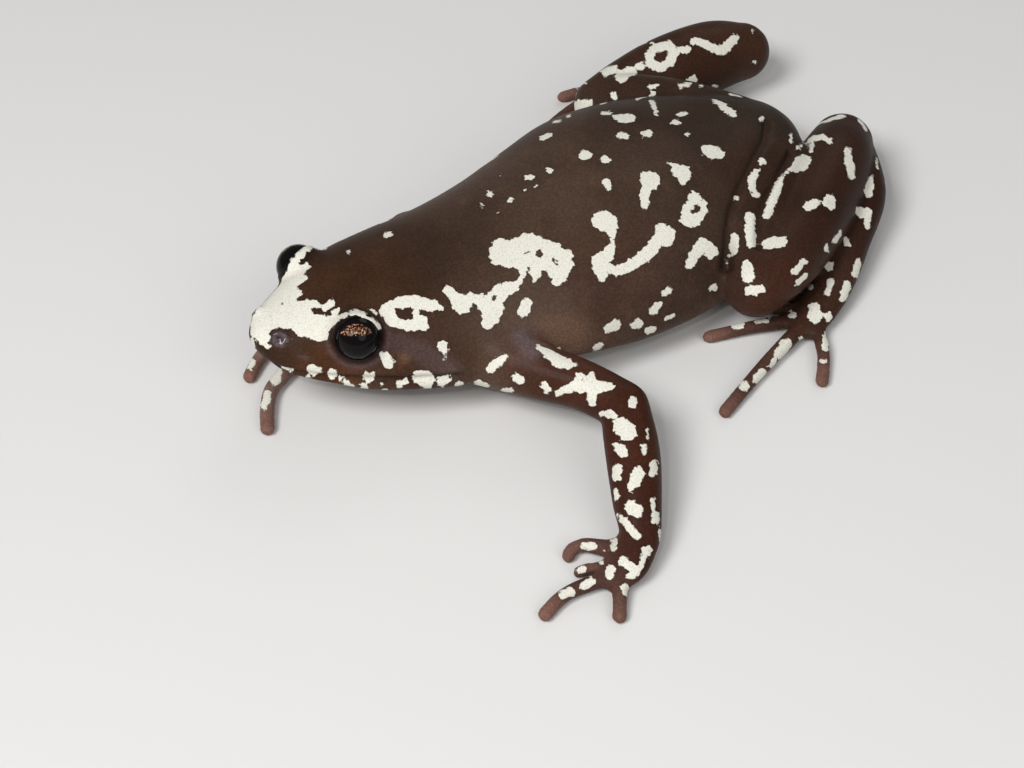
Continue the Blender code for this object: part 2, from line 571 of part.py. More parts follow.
def build():
    for obj in list(bpy.data.objects):
        bpy.data.objects.remove(obj)
    work = new_collection("work")
    cutters = new_collection("cutters", hidden=True)
    frog = new_collection("humming frog")

    body = make_body(frog)
    for name, stations in LIMBS.items():
        make_limb(name, stations, work)
    join_pieces(body, work)
    use_modifier(body, "REMESH", mode="VOXEL", voxel_size=SKIN_GRID * MM)
    soften(body)
    add_face_forms(body, work)
    use_modifier(body, "DECIMATE", ratio=triangle_share(body), use_collapse_triangulate=True)
    add_cutters(cutters)
    bm, pieces = parted(body, cutters)
    bpy.data.objects.remove(body)
    name_pieces(bm, pieces, frog)

    for side, name in ((1, "eye_left"), (-1, "eye_right")):
        ball(name, side_of(EYE["place"], side), EYE["radius"], frog, 16, 10)
    looks = {name: material(name, *values) for name, values in LOOKS.items()}
    for obj in frog.objects:
        obj.data.materials.append(looks[look_of(obj.name)])
        obj.data.shade_smooth()
    clear(cutters)
    return set_down(list(frog.objects))


ORIGIN = build()
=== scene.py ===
# Humming frog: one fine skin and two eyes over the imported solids. Lengths in the dictionaries
# are millimetres from the floor point under the snout tip, with the frog facing -Y and its
# left side at +X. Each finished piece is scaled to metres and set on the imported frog.
import math
import random

import bmesh
import bpy
import numpy as np
from mathutils import Euler, Matrix, Vector, noise
from mathutils.bvhtree import BVHTree


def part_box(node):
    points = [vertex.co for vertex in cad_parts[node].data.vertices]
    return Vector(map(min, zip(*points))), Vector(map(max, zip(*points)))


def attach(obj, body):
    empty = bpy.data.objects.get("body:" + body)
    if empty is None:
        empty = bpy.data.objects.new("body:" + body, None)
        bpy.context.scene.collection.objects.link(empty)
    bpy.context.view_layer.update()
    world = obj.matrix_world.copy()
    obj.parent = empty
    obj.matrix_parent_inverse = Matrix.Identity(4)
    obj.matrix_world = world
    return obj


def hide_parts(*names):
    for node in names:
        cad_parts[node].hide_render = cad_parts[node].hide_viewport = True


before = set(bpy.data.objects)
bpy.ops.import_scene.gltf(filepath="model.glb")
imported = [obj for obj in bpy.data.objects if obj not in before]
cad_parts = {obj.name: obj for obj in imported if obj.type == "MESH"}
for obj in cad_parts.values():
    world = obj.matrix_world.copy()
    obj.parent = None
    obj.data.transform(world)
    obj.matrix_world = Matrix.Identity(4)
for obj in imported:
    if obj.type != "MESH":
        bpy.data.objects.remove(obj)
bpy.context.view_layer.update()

mm = 0.001
farOff = 9.0  # further than any stroke reaches, in millimetres
nearNought = 1e-9
eyes = {"place": (3.02, 4.2, 5.38), "radius": 1.1, "sides": 64, "rings": 40}


def middleOf(node):
    low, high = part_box(node)
    return (low + high) / 2


betweenEyes = (middleOf("eye_left") + middleOf("eye_right")) / 2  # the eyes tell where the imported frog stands
snoutFloor = Vector((betweenEyes.x, betweenEyes.y - eyes["place"][1] * mm, 0))


def sideOf(place, side):  # a place given for the left side, on the side asked for
    return Vector((side * place[0], place[1], place[2]))


# Camera at the photograph's viewing angle.
camera = {"place": (72.521, -28.577, 77.032), "turn": (45.541, 0.994, 58.325), "lens": 77.336,
          "sensor": 36.0, "wide": 1024, "high": 768, "nearest": 0.005, "furthest": 5.0}
cameraTurn = Euler([math.radians(turn) for turn in camera["turn"]])
focal = camera["lens"] / camera["sensor"] * camera["wide"]  # in dots of the picture


def makeCamera():
    data = bpy.data.cameras.new("camera")
    data.lens = camera["lens"]
    data.sensor_width = camera["sensor"]
    data.clip_start = camera["nearest"]
    data.clip_end = camera["furthest"]
    seen = bpy.data.objects.new("camera", data)
    seen.location = snoutFloor + Vector(camera["place"]) * mm
    seen.rotation_euler = cameraTurn
    bpy.context.scene.collection.objects.link(seen)
    bpy.context.scene.camera = seen


def lookThrough(px, py):  # the way from the camera through a dot of its picture
    ahead = Vector((px - camera["wide"] / 2, camera["high"] / 2 - py, -focal)).normalized()
    return cameraTurn.to_matrix() @ ahead


makeCamera()
print("camera placed")

# Body: distance back, bend to the left, half width, top, underside, widest line, squareness.
body = {
    "snout tip": (0.12, 0.0, 0.55, 5.15, 4.35, 4.7, 2.0),
    "snout": (0.55, 0.0, 1.3, 5.5, 3.75, 4.3, 2.1),
    "nostrils": (1.2, 0.0, 1.95, 5.75, 3.15, 3.9, 2.2),
    "muzzle": (2.5, 0.0, 2.9, 6.05, 2.6, 3.4, 2.3),
    "eyes": (4.3, 0.0, 4.05, 6.45, 2.02, 2.8, 2.3),
    "cheeks": (6.3, 0.2, 4.9, 6.64, 1.78, 2.6, 2.2),
    "jaw corners": (8.6, 0.5, 5.55, 6.72, 1.68, 2.5, 2.1),
    "shoulders": (11.5, 0.75, 5.9, 6.75, 1.9, 2.65, 2.1),
    "chest": (14.5, 0.75, 6.45, 7.0, 1.15, 2.5, 2.1),
    "waist": (17.5, 0.45, 7.1, 7.3, 0.15, 2.35, 2.1),
    "belly": (20.5, 0.1, 7.55, 7.5, -0.12, 2.35, 2.1),
    "loins": (23.5, 0.0, 7.3, 7.35, -0.12, 2.45, 2.1),
    "sacrum": (26.5, 0.0, 6.25, 6.9, -0.05, 2.7, 2.1),
    "rump": (29.0, 0.0, 4.4, 6.55, 0.5, 3.2, 2.0),
    "tail end": (31.0, 0.0, 2.9, 5.8, 1.5, 3.7, 2.0),
    "vent": (31.9, 0.0, 1.4, 5.0, 2.8, 3.9, 2.0),
}

# Limbs: stations of place, half width and half height.
limbs = {
    "upper_arm_left": [
        (4.4, 10.2, 2.9, 2.1, 2.0), (7.2, 11.3, 3.0, 1.45, 1.45), (9.6, 12.7, 3.1, 1.22, 1.22),
        (11.9, 13.6, 3.1, 1.2, 1.2)],
    "forearm_left": [
        (11.9, 13.6, 3.1, 1.2, 1.2), (14.1, 12.6, 2.4, 1.3, 1.25), (16.2, 11.45, 1.7, 1.16, 1.08),
        (17.7, 10.6, 1.15, 0.96, 0.8), (18.5, 9.4, 0.8, 1.06, 0.66), (18.75, 8.7, 0.6, 0.85, 0.5)],
    "finger_1_left": [
        (17.75, 9.9, 0.75, 0.85, 0.5), (16.95, 9.15, 0.52, 0.48, 0.38), (16.25, 8.55, 0.44, 0.34, 0.34),
        (16.1, 7.95, 0.36, 0.32, 0.32), (16.3, 7.6, 0.28, 0.34, 0.32)],
    "finger_2_left": [
        (18.1, 8.95, 0.52, 0.32, 0.32), (17.6, 8.2, 0.42, 0.28, 0.28), (17.38, 7.5, 0.28, 0.3, 0.3)],
    "finger_3_left": [
        (18.6, 8.6, 0.62, 0.42, 0.4), (18.3, 7.0, 0.46, 0.36, 0.36), (18.3, 5.9, 0.4, 0.34, 0.34),
        (18.65, 4.85, 0.28, 0.36, 0.32)],
    "finger_4_left": [
        (18.9, 8.7, 0.62, 0.42, 0.4), (19.9, 8.05, 0.42, 0.34, 0.34), (20.55, 7.6, 0.28, 0.36, 0.32)],
    "upper_arm_right": [
        (-3.7, 10.9, 3.5, 1.5, 1.5), (-4.9, 11.7, 2.7, 1.2, 1.2), (-5.8, 12.4, 1.85, 1.05, 1.05),
        (-6.5, 13.0, 1.12, 1.0, 1.0)],
    "forearm_right": [
        (-6.5, 13.0, 1.12, 1.0, 1.0), (-6.5, 11.2, 0.95, 0.95, 0.85), (-5.6, 8.8, 0.85, 0.88, 0.78),
        (-4.5, 6.7, 0.8, 0.72, 0.65), (-3.7, 5.2, 0.7, 0.92, 0.58), (-3.2, 4.4, 0.6, 0.8, 0.5)],
    "finger_1_right": [
        (-3.7, 5.6, 0.5, 0.34, 0.34), (-2.7, 6.1, 0.4, 0.3, 0.3), (-1.9, 6.5, 0.28, 0.32, 0.32)],
    "finger_2_right": [
        (-3.2, 4.9, 0.58, 0.38, 0.36), (-2.0, 4.7, 0.44, 0.34, 0.34), (-0.8, 4.4, 0.28, 0.36, 0.32)],
    "finger_3_right": [
        (-3.0, 4.1, 0.6, 0.44, 0.4), (-1.5, 2.2, 0.5, 0.4, 0.38), (-0.7, 0.95, 0.42, 0.38, 0.36),
        (0.45, 0.15, 0.38, 0.38, 0.34), (1.45, -0.35, 0.28, 0.38, 0.32)],
    "finger_4_right": [
        (-3.4, 4.2, 0.6, 0.4, 0.38), (-3.35, 2.0, 0.46, 0.34, 0.34), (-2.3, 0.55, 0.28, 0.36, 0.32)],
    "thigh_left": [
        (1.5, 29.7, 3.6, 2.2, 2.2), (3.6, 27.6, 3.6, 2.05, 2.05), (5.9, 25.3, 3.3, 1.85, 1.85),
        (8.1, 24.1, 3.0, 1.65, 1.65)],
    "shank_left": [
        (8.2, 24.0, 3.0, 1.65, 1.65), (7.4, 26.3, 3.15, 1.95, 1.7), (5.25, 29.7, 2.95, 2.1, 2.1),
        (2.7, 33.1, 2.8, 2.08, 2.08), (1.15, 34.9, 2.55, 1.72, 1.72)],
    "tarsus_left": [
        (1.2, 35.2, 2.42, 1.38, 1.38), (4.5, 33.9, 2.0, 1.15, 1.1), (6.8, 31.2, 1.45, 1.05, 0.95),
        (8.3, 29.2, 1.1, 1.05, 0.8), (9.4, 27.2, 0.75, 1.1, 0.6), (9.9, 26.1, 0.6, 0.95, 0.48)],
    "toe_1_left": [
        (8.5, 27.1, 0.55, 0.34, 0.34), (7.3, 26.6, 0.4, 0.3, 0.3), (6.4, 26.2, 0.28, 0.32, 0.32)],
    "toe_2_left": [
        (8.9, 26.4, 0.58, 0.38, 0.36), (7.6, 25.3, 0.42, 0.32, 0.32), (6.5, 24.6, 0.28, 0.34, 0.32)],
    "toe_3_left": [
        (9.4, 26.0, 0.6, 0.42, 0.38), (8.4, 23.5, 0.44, 0.34, 0.34), (7.75, 21.6, 0.28, 0.36, 0.32)],
    "toe_4_left": [
        (9.9, 25.9, 0.6, 0.44, 0.4), (10.9, 23.1, 0.48, 0.38, 0.36), (11.8, 20.9, 0.4, 0.34, 0.34),
        (12.55, 19.15, 0.28, 0.36, 0.32)],
    "toe_5_left": [
        (10.2, 26.5, 0.58, 0.42, 0.38), (12.0, 25.6, 0.42, 0.34, 0.34), (13.4, 24.45, 0.28, 0.36, 0.32)],
    "thigh_right": [
        (-1.5, 29.7, 3.6, 2.2, 2.2), (-4.3, 28.2, 3.6, 2.1, 2.1), (-7.0, 26.7, 3.2, 1.9, 1.9),
        (-8.5, 25.8, 2.9, 1.6, 1.6)],
    "shank_right": [
        (-8.5, 25.8, 2.9, 1.6, 1.6), (-8.8, 27.9, 2.9, 1.85, 1.85), (-9.0, 30.6, 2.9, 2.05, 2.05),
        (-9.0, 33.5, 2.8, 2.0, 2.0), (-8.8, 35.4, 2.5, 1.65, 1.65)],
    "tarsus_right": [
        (-8.8, 35.4, 2.5, 1.4, 1.4), (-10.4, 33.9, 1.7, 1.1, 1.1), (-11.6, 31.2, 1.25, 1.0, 1.0),
        (-11.9, 29.9, 1.0, 1.0, 0.78), (-12.0, 28.6, 0.72, 1.05, 0.6), (-11.9, 27.9, 0.6, 0.95, 0.48)],
    "toe_1_right": [
        (-11.2, 28.8, 0.55, 0.34, 0.34), (-10.3, 28.8, 0.4, 0.3, 0.3), (-9.5, 28.8, 0.28, 0.32, 0.32)],
    "toe_2_right": [
        (-11.3, 28.2, 0.58, 0.38, 0.36), (-10.2, 27.5, 0.42, 0.32, 0.32), (-9.1, 27.1, 0.28, 0.34, 0.32)],
    "toe_3_right": [
        (-11.5, 27.8, 0.6, 0.42, 0.38), (-10.5, 26.1, 0.44, 0.34, 0.34), (-9.4, 24.9, 0.28, 0.36, 0.32)],
    "toe_4_right": [
        (-11.9, 27.6, 0.6, 0.44, 0.4), (-11.6, 25.6, 0.48, 0.38, 0.36), (-11.0, 23.8, 0.4, 0.34, 0.34),
        (-10.2, 22.4, 0.28, 0.36, 0.32)],
    "toe_5_right": [
        (-12.3, 28.1, 0.58, 0.42, 0.38), (-12.9, 27.1, 0.42, 0.34, 0.34), (-13.2, 26.2, 0.28, 0.36, 0.32)],
}

skinMesh = {"bodySides": 96, "limbSides": 32, "steps": 6, "capRings": 5, "capEnd": 0.35, "grid": 0.165,
            "softenTimes": 7, "smoothTimes": 1}

# Where two forms meet: place and how far round it the smoothing reaches.
softPlaces = {
    "left shoulder": (5.6, 10.9, 3.2, 2.8), "left elbow": (11.9, 13.6, 3.0, 1.7),
    "right shoulder": (-4.6, 11.4, 2.4, 2.0), "left hip": (3.2, 28.6, 4.2, 3.2),
    "right hip": (-3.2, 28.9, 4.2, 3.2), "left hand": (18.2, 9.4, 0.8, 1.6),
    "left foot": (9.6, 26.6, 0.7, 1.8), "right foot": (-12.0, 28.3, 0.7, 1.6),
    "right hand": (-3.4, 4.7, 0.7, 1.6),
}

face = {"lid": (2.72, 4.35, 5.13), "lidRadius": 1.34, "rim": 0.14, "rimAhead": 0.1, "socketGap": 0.02,
        "rimSides": (40, 24), "socketSides": (48, 32),
        "faces": (0.85, -0.3, 0.25),
        "nostril": (1.2, 0.95, 5.44), "nostrilRim": (0.8, 1.12, 5.2), "nostrilRimRadius": 0.52,
        "nostrilRadius": 0.15, "nostrilDepth": 0.34, "ringRadius": 0.28, "ringWidth": 0.09,
        "ringHeight": 0.11,
        "mouthFront": (0.62, 3.95), "mouthCorner": (8.2, 3.05), "mouthCurve": (1.4, 0.8),
        "mouthPoints": 24, "mouthWidth": 0.15, "mouthDepth": 0.2, "mouthShade": 0.7,
        "lipAway": 0.34, "lipWidth": 0.15, "lipHeight": 0.05}

# Creases of the skin along picture places: depth and width.
creases = {
    "groin": ([(767, 122), (765, 138), (753, 160), (741, 185), (732, 210), (728, 240), (726, 268)],
              0.3, 0.24),
    "behind the knee": ([(791, 152), (781, 170), (768, 191), (760, 212), (758, 236), (759, 246)],
                        0.34, 0.18),
    "behind the eye": ([(396, 347), (420, 357), (446, 372)], 0.06, 0.25),
}

# Pale marks by region, each a brush stroke of picture places with its half width there in hundredths
# of a millimetre.
paleMarks = {
    "snout side": [[(255, 333, 26), (258, 324, 38), (265, 315, 50), (274, 305, 52), (281, 294, 46),
        (289, 283, 42), (295, 275, 34)], [(255, 336, 16), (263, 338, 30), (264, 328, 42)], [(261, 338, 20),
        (266, 344, 16), (269, 347, 10)]],
    "snout": [[(262, 327, 50), (271, 319, 58), (281, 310, 55), (287, 300, 40), (293, 294, 26),
        (297, 293, 20)], [(297, 273, 30), (303, 269, 20), (308, 266, 16)], [(292, 283, 32), (299, 280, 20),
        (304, 278, 14)], [(252, 340, 10), (254, 346, 8), (258, 353, 4)]],
    "far eye": [[(293, 270, 28), (294, 263, 22), (298, 256, 20), (304, 250, 18), (312, 246, 12),
        (320, 247, 8), (325, 249, 7)], [(325, 248, 7), (333, 243, 9), (343, 238, 9), (357, 231, 8)]],
    "behind the brow": [[(324, 309, 12), (331, 303, 17)], [(337, 311, 13), (335, 318, 20)]],
    "brow": [[(281, 319, 50), (294, 317, 62), (306, 322, 62), (318, 327, 62), (325, 325, 34),
        (333, 317, 22)], [(296, 309, 40), (304, 306, 26), (312, 304.5, 22), (318, 305, 14)], [(300, 330, 26),
        (312, 331, 36), (321, 334, 34), (324, 338, 16)]],
    "lid": [[(331, 323, 16), (337, 319, 16), (343, 316, 14), (350, 312.5, 15), (357, 312, 15),
        (363, 314, 13)], [(363, 315, 11), (369, 319, 12), (374, 323, 13), (379, 328, 10)], [(370, 309, 7),
        (374, 311.5, 9), (378, 315, 6)]],
    "neck": [[(386, 235, 14), (390, 234, 12)], [(348, 252, 9)], [(490, 369, 18), (497, 363, 22),
        (504, 357, 16)]],
    "jaw": [[(284, 366.8, 11), (291.5, 370, 11)], [(312, 369, 26), (318, 371, 18), (308, 376, 10)],
        [(332, 374, 24)], [(341, 379, 13), (347, 380, 13)], [(346, 385, 10), (352, 386, 12)],
        [(364, 386, 20)], [(368, 377, 26), (371, 376, 22)], [(381, 384, 9)], [(385, 391, 16)],
        [(400, 383, 20), (406, 381, 12)], [(420, 378, 36), (426, 379, 40), (427, 384, 26)], [(441, 382, 22),
        (447, 379, 20)], [(460, 386, 24)], [(479, 384, 22), (486, 386, 18)], [(507, 390, 16)]],
    "cheek": [[(385, 355, 22), (389, 363, 26)], [(443, 346, 26), (444, 350, 22)], [(442, 361, 4),
        (446, 357, 7)]],
    "horn": [[(388, 312, 32), (391, 318, 32), (397, 323, 28)], [(382, 310, 14), (390, 306, 24),
        (400, 303, 26), (412, 301, 30), (424, 304, 32), (434, 306, 28), (439, 309, 20)], [(416, 317, 18),
        (421, 320, 30), (424, 325, 20)], [(396, 323, 26), (407, 325, 24), (417, 325, 28), (424, 327, 20)],
        [(416, 308, 12), (417, 320, 14)]],
    "chain": [[(447, 290, 20), (453, 296, 24), (460, 303, 40), (463, 307, 36)], [(466, 302, 32),
        (470, 296, 18), (474, 298, 12), (480, 300, 30), (484, 304, 36), (493, 308, 50), (491, 316, 45),
        (488, 323, 33)], [(515, 286, 20), (507, 289, 34), (499, 293, 40), (494, 301, 46)]],
    "big band": [[(500, 254, 55), (510, 255, 68), (522, 252, 78), (534, 251, 72), (546, 256, 58)],
        [(498, 245.5, 32), (507, 244, 26)], [(524, 241, 36), (531, 240, 33), (540, 246, 30)],
        [(546, 247, 36), (556, 253, 42), (565, 258, 38), (567, 264, 32)], [(566, 264, 34), (562, 274, 34),
        (557, 281, 24)], [(552, 262, 40), (555, 269, 38), (552, 274, 22)], [(536, 268, 30), (536.5, 276, 20),
        (534, 280, 12)], [(524, 268, 20), (523, 276, 12), (517, 284, 16)], [(527, 303, 27),
        (523, 312, 28)]],
    "crescent": [[(599, 220, 38), (605, 217, 36), (611, 222, 34), (612, 230, 27), (612, 237, 16),
        (612, 243, 10)], [(603, 226, 30)], [(612, 245, 14), (610, 251, 26), (606, 257, 32)], [(606, 257, 32),
        (599, 261, 38), (600, 269, 38), (602, 274, 32)], [(608, 267, 22), (616, 271, 24), (626, 268, 27),
        (636, 262, 29), (646, 255, 30), (654, 247, 34), (661, 239, 36), (662, 229, 34)], [(662, 231, 34),
        (669, 234, 34), (668, 243, 20)]],
    "loin": [[(647, 178, 34), (653, 180, 36), (651, 185, 30)], [(646, 190, 26), (644.5, 198, 22),
        (645, 206, 20)], [(678, 171, 34), (684, 172, 34), (683, 177, 34)], [(669, 163, 6), (673, 166, 12)],
        [(694, 198, 34)], [(703.5, 203, 17), (703.5, 211, 17), (700, 217, 20)], [(688, 207, 26),
        (686, 214, 26), (687, 220, 34), (693, 221, 34)], [(690, 264, 22), (695, 254, 26), (702, 244, 30),
        (709, 247, 28), (715, 252, 22)], [(705, 247, 28), (710, 256, 18)], [(706, 150, 28), (714, 152, 36),
        (720, 155, 22)]],
    "back": [[(603, 113, 10), (611, 113, 10)], [(616, 118, 16), (624, 118, 24), (632, 118, 18)],
        [(652, 101, 12), (654, 107, 14), (656, 114, 12)], [(619, 135, 16), (626, 136, 18)], [(643, 134, 14),
        (650, 133, 16)], [(673, 122, 10), (679, 122, 10)], [(678, 115, 10), (686, 113, 9)], [(688, 134, 14)],
        [(714, 101, 12), (722, 105, 18), (728, 110, 20), (734, 114, 14)], [(730, 94, 6), (742, 97, 6)],
        [(762, 119, 14)], [(779, 98, 16)], [(791, 135, 10), (791, 141, 10)]],
    "dots": [[(490, 194, 16)], [(510, 200, 14)], [(482, 206, 9)], [(498, 213, 9)], [(501, 174, 6)],
        [(527, 177, 16), (532, 177, 12)], [(549, 170, 17)], [(536, 186, 8)], [(525, 190, 9)],
        [(583, 155, 22), (589, 155, 20)], [(604, 159, 18), (608, 161, 14)], [(606, 182, 20), (608, 187, 16)],
        [(554, 122, 10), (560, 121, 10)], [(569, 116, 12)], [(542, 138, 14), (550, 135, 12)]],
    "flank": [[(665, 293, 18), (669, 290, 18)], [(660, 304, 16), (653, 311, 18)], [(639, 323, 22),
        (634, 325, 18)], [(616, 325, 26), (608, 329, 22)], [(672, 316, 12), (667, 318, 12)], [(653, 329, 16),
        (647, 331, 14)], [(601, 345, 14), (594, 349, 12)], [(709, 290, 10), (715, 287, 16)]],
    "left upper arm": [[(537, 347, 7), (548, 354, 22), (558, 361, 30), (568, 364, 26), (575, 364, 12)],
        [(516, 377, 21), (521, 380, 18)], [(503, 391, 12), (511, 390, 12)], [(544, 385, 17), (548, 390, 17)],
        [(557, 393, 14), (566, 389, 20), (575, 386, 26), (588, 387, 30), (600, 387, 26), (611, 386, 16)],
        [(578, 376, 18), (580, 386, 24), (591, 376, 20), (593, 386, 26), (592, 397, 24), (592, 404, 16)]],
    "left forearm": [[(633, 399, 16), (633, 405, 18)], [(603, 413, 16), (612, 415, 18)], [(621, 426, 40),
        (628, 432, 40)], [(617, 446, 19), (622, 452, 27)], [(644, 447, 14), (644, 451, 14)], [(654, 462, 14),
        (653, 473, 19)], [(618, 468, 22), (616, 477, 22)], [(638, 473, 29), (636, 480, 28), (631, 488, 20)],
        [(616, 491, 10), (618, 500, 10)], [(653, 500, 14), (653, 507, 14)], [(630, 506, 28), (636, 511, 31)],
        [(656, 515, 20), (656, 521, 18)], [(619, 516, 11), (628, 526, 18), (637, 536, 18)], [(660, 530, 8),
        (660, 540, 8)], [(647, 430, 8), (647, 438, 8)]],
    "left hand": [[(646, 551, 25)], [(645, 557, 12), (641, 565, 16), (635, 572, 23), (630, 575, 16)],
        [(623, 561, 23), (630, 566, 19)], [(611, 568, 19), (609, 575, 21)], [(624, 587, 18), (626, 592, 18)],
        [(584, 585, 20), (592, 581, 20)], [(579, 570.5, 15), (583.5, 568.5, 15)], [(563, 595, 22),
        (570, 592, 22)], [(583.5, 546, 17), (592, 546, 20)], [(614, 540, 14), (614, 548, 14)],
        [(605, 550, 9)], [(601, 562, 10)]],
    # left thigh: the third stroke paints a small bright white bar, as pale as the marks
    "left thigh": [[(757, 171, 16), (752, 180, 22), (752, 188, 20), (757, 196, 12)], [(762, 161, 20)],
        [(750, 216, 24), (750, 230, 26), (751, 244, 22)], [(735, 238, 22), (733, 252, 22)], [(727, 256, 6),
        (727, 264, 6)], [(737, 198, 10)]],
    "left shank": [[(797, 149, 9), (804, 143, 13), (811, 139, 16), (823, 137, 16), (831, 142, 13)],
        [(806, 160, 30), (802, 163, 40), (796, 168, 22)], [(812, 141, 13), (811, 151, 11)], [(793, 168, 13),
        (786, 173, 7), (781, 178, 10), (778, 187, 21), (773, 200, 25), (767, 214, 23)], [(815, 127, 10),
        (827, 121, 12), (843, 116, 12)], [(859, 120, 8), (866, 130, 8)], [(848, 151, 20), (850, 164, 24),
        (852, 176, 18)], [(808, 206, 22), (814, 204, 26)], [(827, 202, 24), (829, 200, 29), (831, 206, 22)],
        [(768, 244, 30), (774, 243, 30), (784, 241, 20)], [(805, 261, 14), (794, 272, 15)], [(806, 275, 14),
        (796, 284, 10)], [(747, 265, 26), (748, 278, 28)], [(749, 291, 22), (760, 289, 22)], [(840, 233, 13),
        (835, 241, 15)], [(827, 245, 10), (827, 251, 10)]],
    "left tarsus": [[(876, 158, 5), (878, 170, 6)], [(871, 178, 14), (869, 192, 27)], [(861, 212, 28),
        (867, 212, 26), (868, 226, 14)], [(846, 240, 16), (848, 244, 16)], [(858, 262, 18), (856, 274, 18)],
        [(829, 266, 24)], [(847, 285, 22), (843, 298, 20)], [(810, 287, 18)], [(831, 281, 16),
        (827, 293, 16)]],
    "left foot": [[(815, 309, 34), (815, 317, 34)], [(828, 317, 24)], [(792, 315, 22)], [(827, 335, 18),
        (825, 348, 18)], [(823, 362, 17)], [(786, 344, 28), (780, 354, 28)], [(801, 338, 16)],
        [(774, 360, 16), (771, 365, 16)], [(762, 373, 22), (756, 379, 22)], [(744, 386, 26)],
        [(735, 325, 20), (740, 325, 20)], [(757, 321, 12), (768, 320, 12)]],
    "right shank": [[(622, 76, 36), (630, 73, 36)], [(640, 66, 26)], [(652, 66, 22), (649, 57, 24),
        (655, 49, 26), (667, 45, 26), (674, 52, 26), (670, 62, 28), (661, 67, 28), (652, 66, 22)],
        [(683, 50, 22), (688, 49, 18)], [(693, 41, 18), (703, 43, 24), (712, 47, 26), (722, 51, 26),
        (729, 44, 26), (735, 38, 22)], [(605, 72, 24), (613, 69, 24)], [(578, 86, 14), (585, 84, 14)],
        [(652, 43, 12)], [(753, 31, 10)], [(755, 62, 14)]],
    "right thigh": [[(575, 107, 26), (584, 104, 30)], [(590, 103, 18)], [(604, 103, 24), (613, 96, 24)],
        [(649, 87, 10), (658, 85, 10)], [(638, 99, 14), (653, 93, 14)], [(680, 86, 12), (690, 84, 12)],
        [(701, 86, 12)]],
    "right fingers": [[(277, 371, 26), (275, 380, 27)], [(268, 393, 16), (264, 407, 16)], [(252, 362, 16),
        (250, 368, 14)]],
}
brownGaps = {
    "head": [[(278.5, 336, 42)], [(314, 311, 14), (322, 313.5, 12), (330, 314, 9)], [(362, 309, 3),
        (369, 313.5, 5), (376, 319, 4)], [(351, 309, 3), (348, 315, 3)], [(340, 324, 3), (343, 318, 3)],
        [(281, 307, 3), (281, 303, 5)]],
    "neck and back": [[(402, 313, 14), (410, 312.5, 15)], [(494, 299, 14)], [(539, 253.5, 18)],
        [(523, 253.5, 4), (530, 252.5, 3)], [(552, 258.5, 5), (555, 261, 7), (559, 265, 4)],
        [(421, 313.5, 11), (430, 314, 13), (440, 315, 16)]],
    "loin": [[(693.5, 211, 17)], [(676, 179, 12)], [(661, 247, 6)]],
    "limbs": [[(582, 381, 7)], [(660, 56, 26)]],
}
mirroredRegions = ("snout side", "brow", "lid", "jaw", "cheek", "flank")  # also laid on the right side


def smoothPath(stations, steps):  # a smooth curve through all the stations
    path = []
    last = len(stations) - 1
    for i in range(last):
        p0, p1, p2, p3 = (stations[min(max(k, 0), last)] for k in (i - 1, i, i + 1, i + 2))
        for step in range(steps):
            t = step / steps
            path.append(tuple(
                0.5 * (2 * b + (c - a) * t + (2 * a - 5 * b + 4 * c - d) * t * t
                       + (3 * b - a - 3 * c + d) * t ** 3)
                for a, b, c, d in zip(p0, p1, p2, p3)))
    path.append(tuple(stations[last]))
    return path


def loftInto(bm, sides, shapes):
    form = bmesh.new()  # each form is lofted by itself and then joins the others
    rings = []
    for shape in shapes:  # each ring is a round one that its shape moves into place
        ring = bmesh.ops.create_circle(form, segments=sides, radius=1)["verts"]
        for vert in ring:
            vert.co = shape(vert.co.x, vert.co.y)
        rings.append(list({edge for vert in ring for edge in vert.link_edges}))
    for ahead, behind in zip(rings, rings[1:]):
        bmesh.ops.bridge_loops(form, edges=ahead + behind)
    for ring in (rings[0], rings[-1]):
        bmesh.ops.edgeloop_fill(form, edges=ring)
    mesh = bpy.data.meshes.new("form")
    form.to_mesh(mesh)
    form.free()
    bm.from_mesh(mesh)
    bpy.data.meshes.remove(mesh)


def bulged(value, square):
    return math.copysign(abs(value) ** (2 / square), value)


def bodyRing(y, bend, half, top, under, widest, square):
    def shape(across, up):
        reach = top - widest if up > 0 else widest - under
        return Vector((bend + half * bulged(across, square), y, widest + reach * bulged(up, square)))
    return shape


def limbRing(centre, along, half, high):
    side = along.cross(Vector((0, 0, 1)))
    side = side.normalized() if side.length > 1e-4 else Vector((1, 0, 0))
    rise = side.cross(along).normalized()
    return lambda across, up: centre + side * half * across + rise * high * up


def limbRings(stations):
    path = smoothPath(stations, skinMesh["steps"])
    places = [Vector(point[:3]) for point in path]
    rings = []
    for k, (place, point) in enumerate(zip(places, path)):
        along = (places[min(k + 1, len(path) - 1)] - places[max(k - 1, 0)]).normalized()
        rings.append((place, along, point[3], point[4]))
    start, end = rings[0], rings[-1]
    for k in range(1, skinMesh["capRings"] + 1):  # round caps at both ends
        turn = 0.5 * math.pi * k / (skinMesh["capRings"] + skinMesh["capEnd"])
        for (place, along, half, high), way in ((start, -1), (end, 1)):
            centre = place + along * way * half * math.sin(turn)
            ring = (centre, along, half * math.cos(turn), high * math.cos(turn))
            rings.insert(0 if way < 0 else len(rings), ring)
    return [limbRing(*ring) for ring in rings]


def addBall(bm, place, radius, sides=32, rings=20):
    ball = bmesh.ops.create_uvsphere(bm, u_segments=sides, v_segments=rings, radius=radius)["verts"]
    bmesh.ops.translate(bm, vec=place, verts=ball)
    return ball


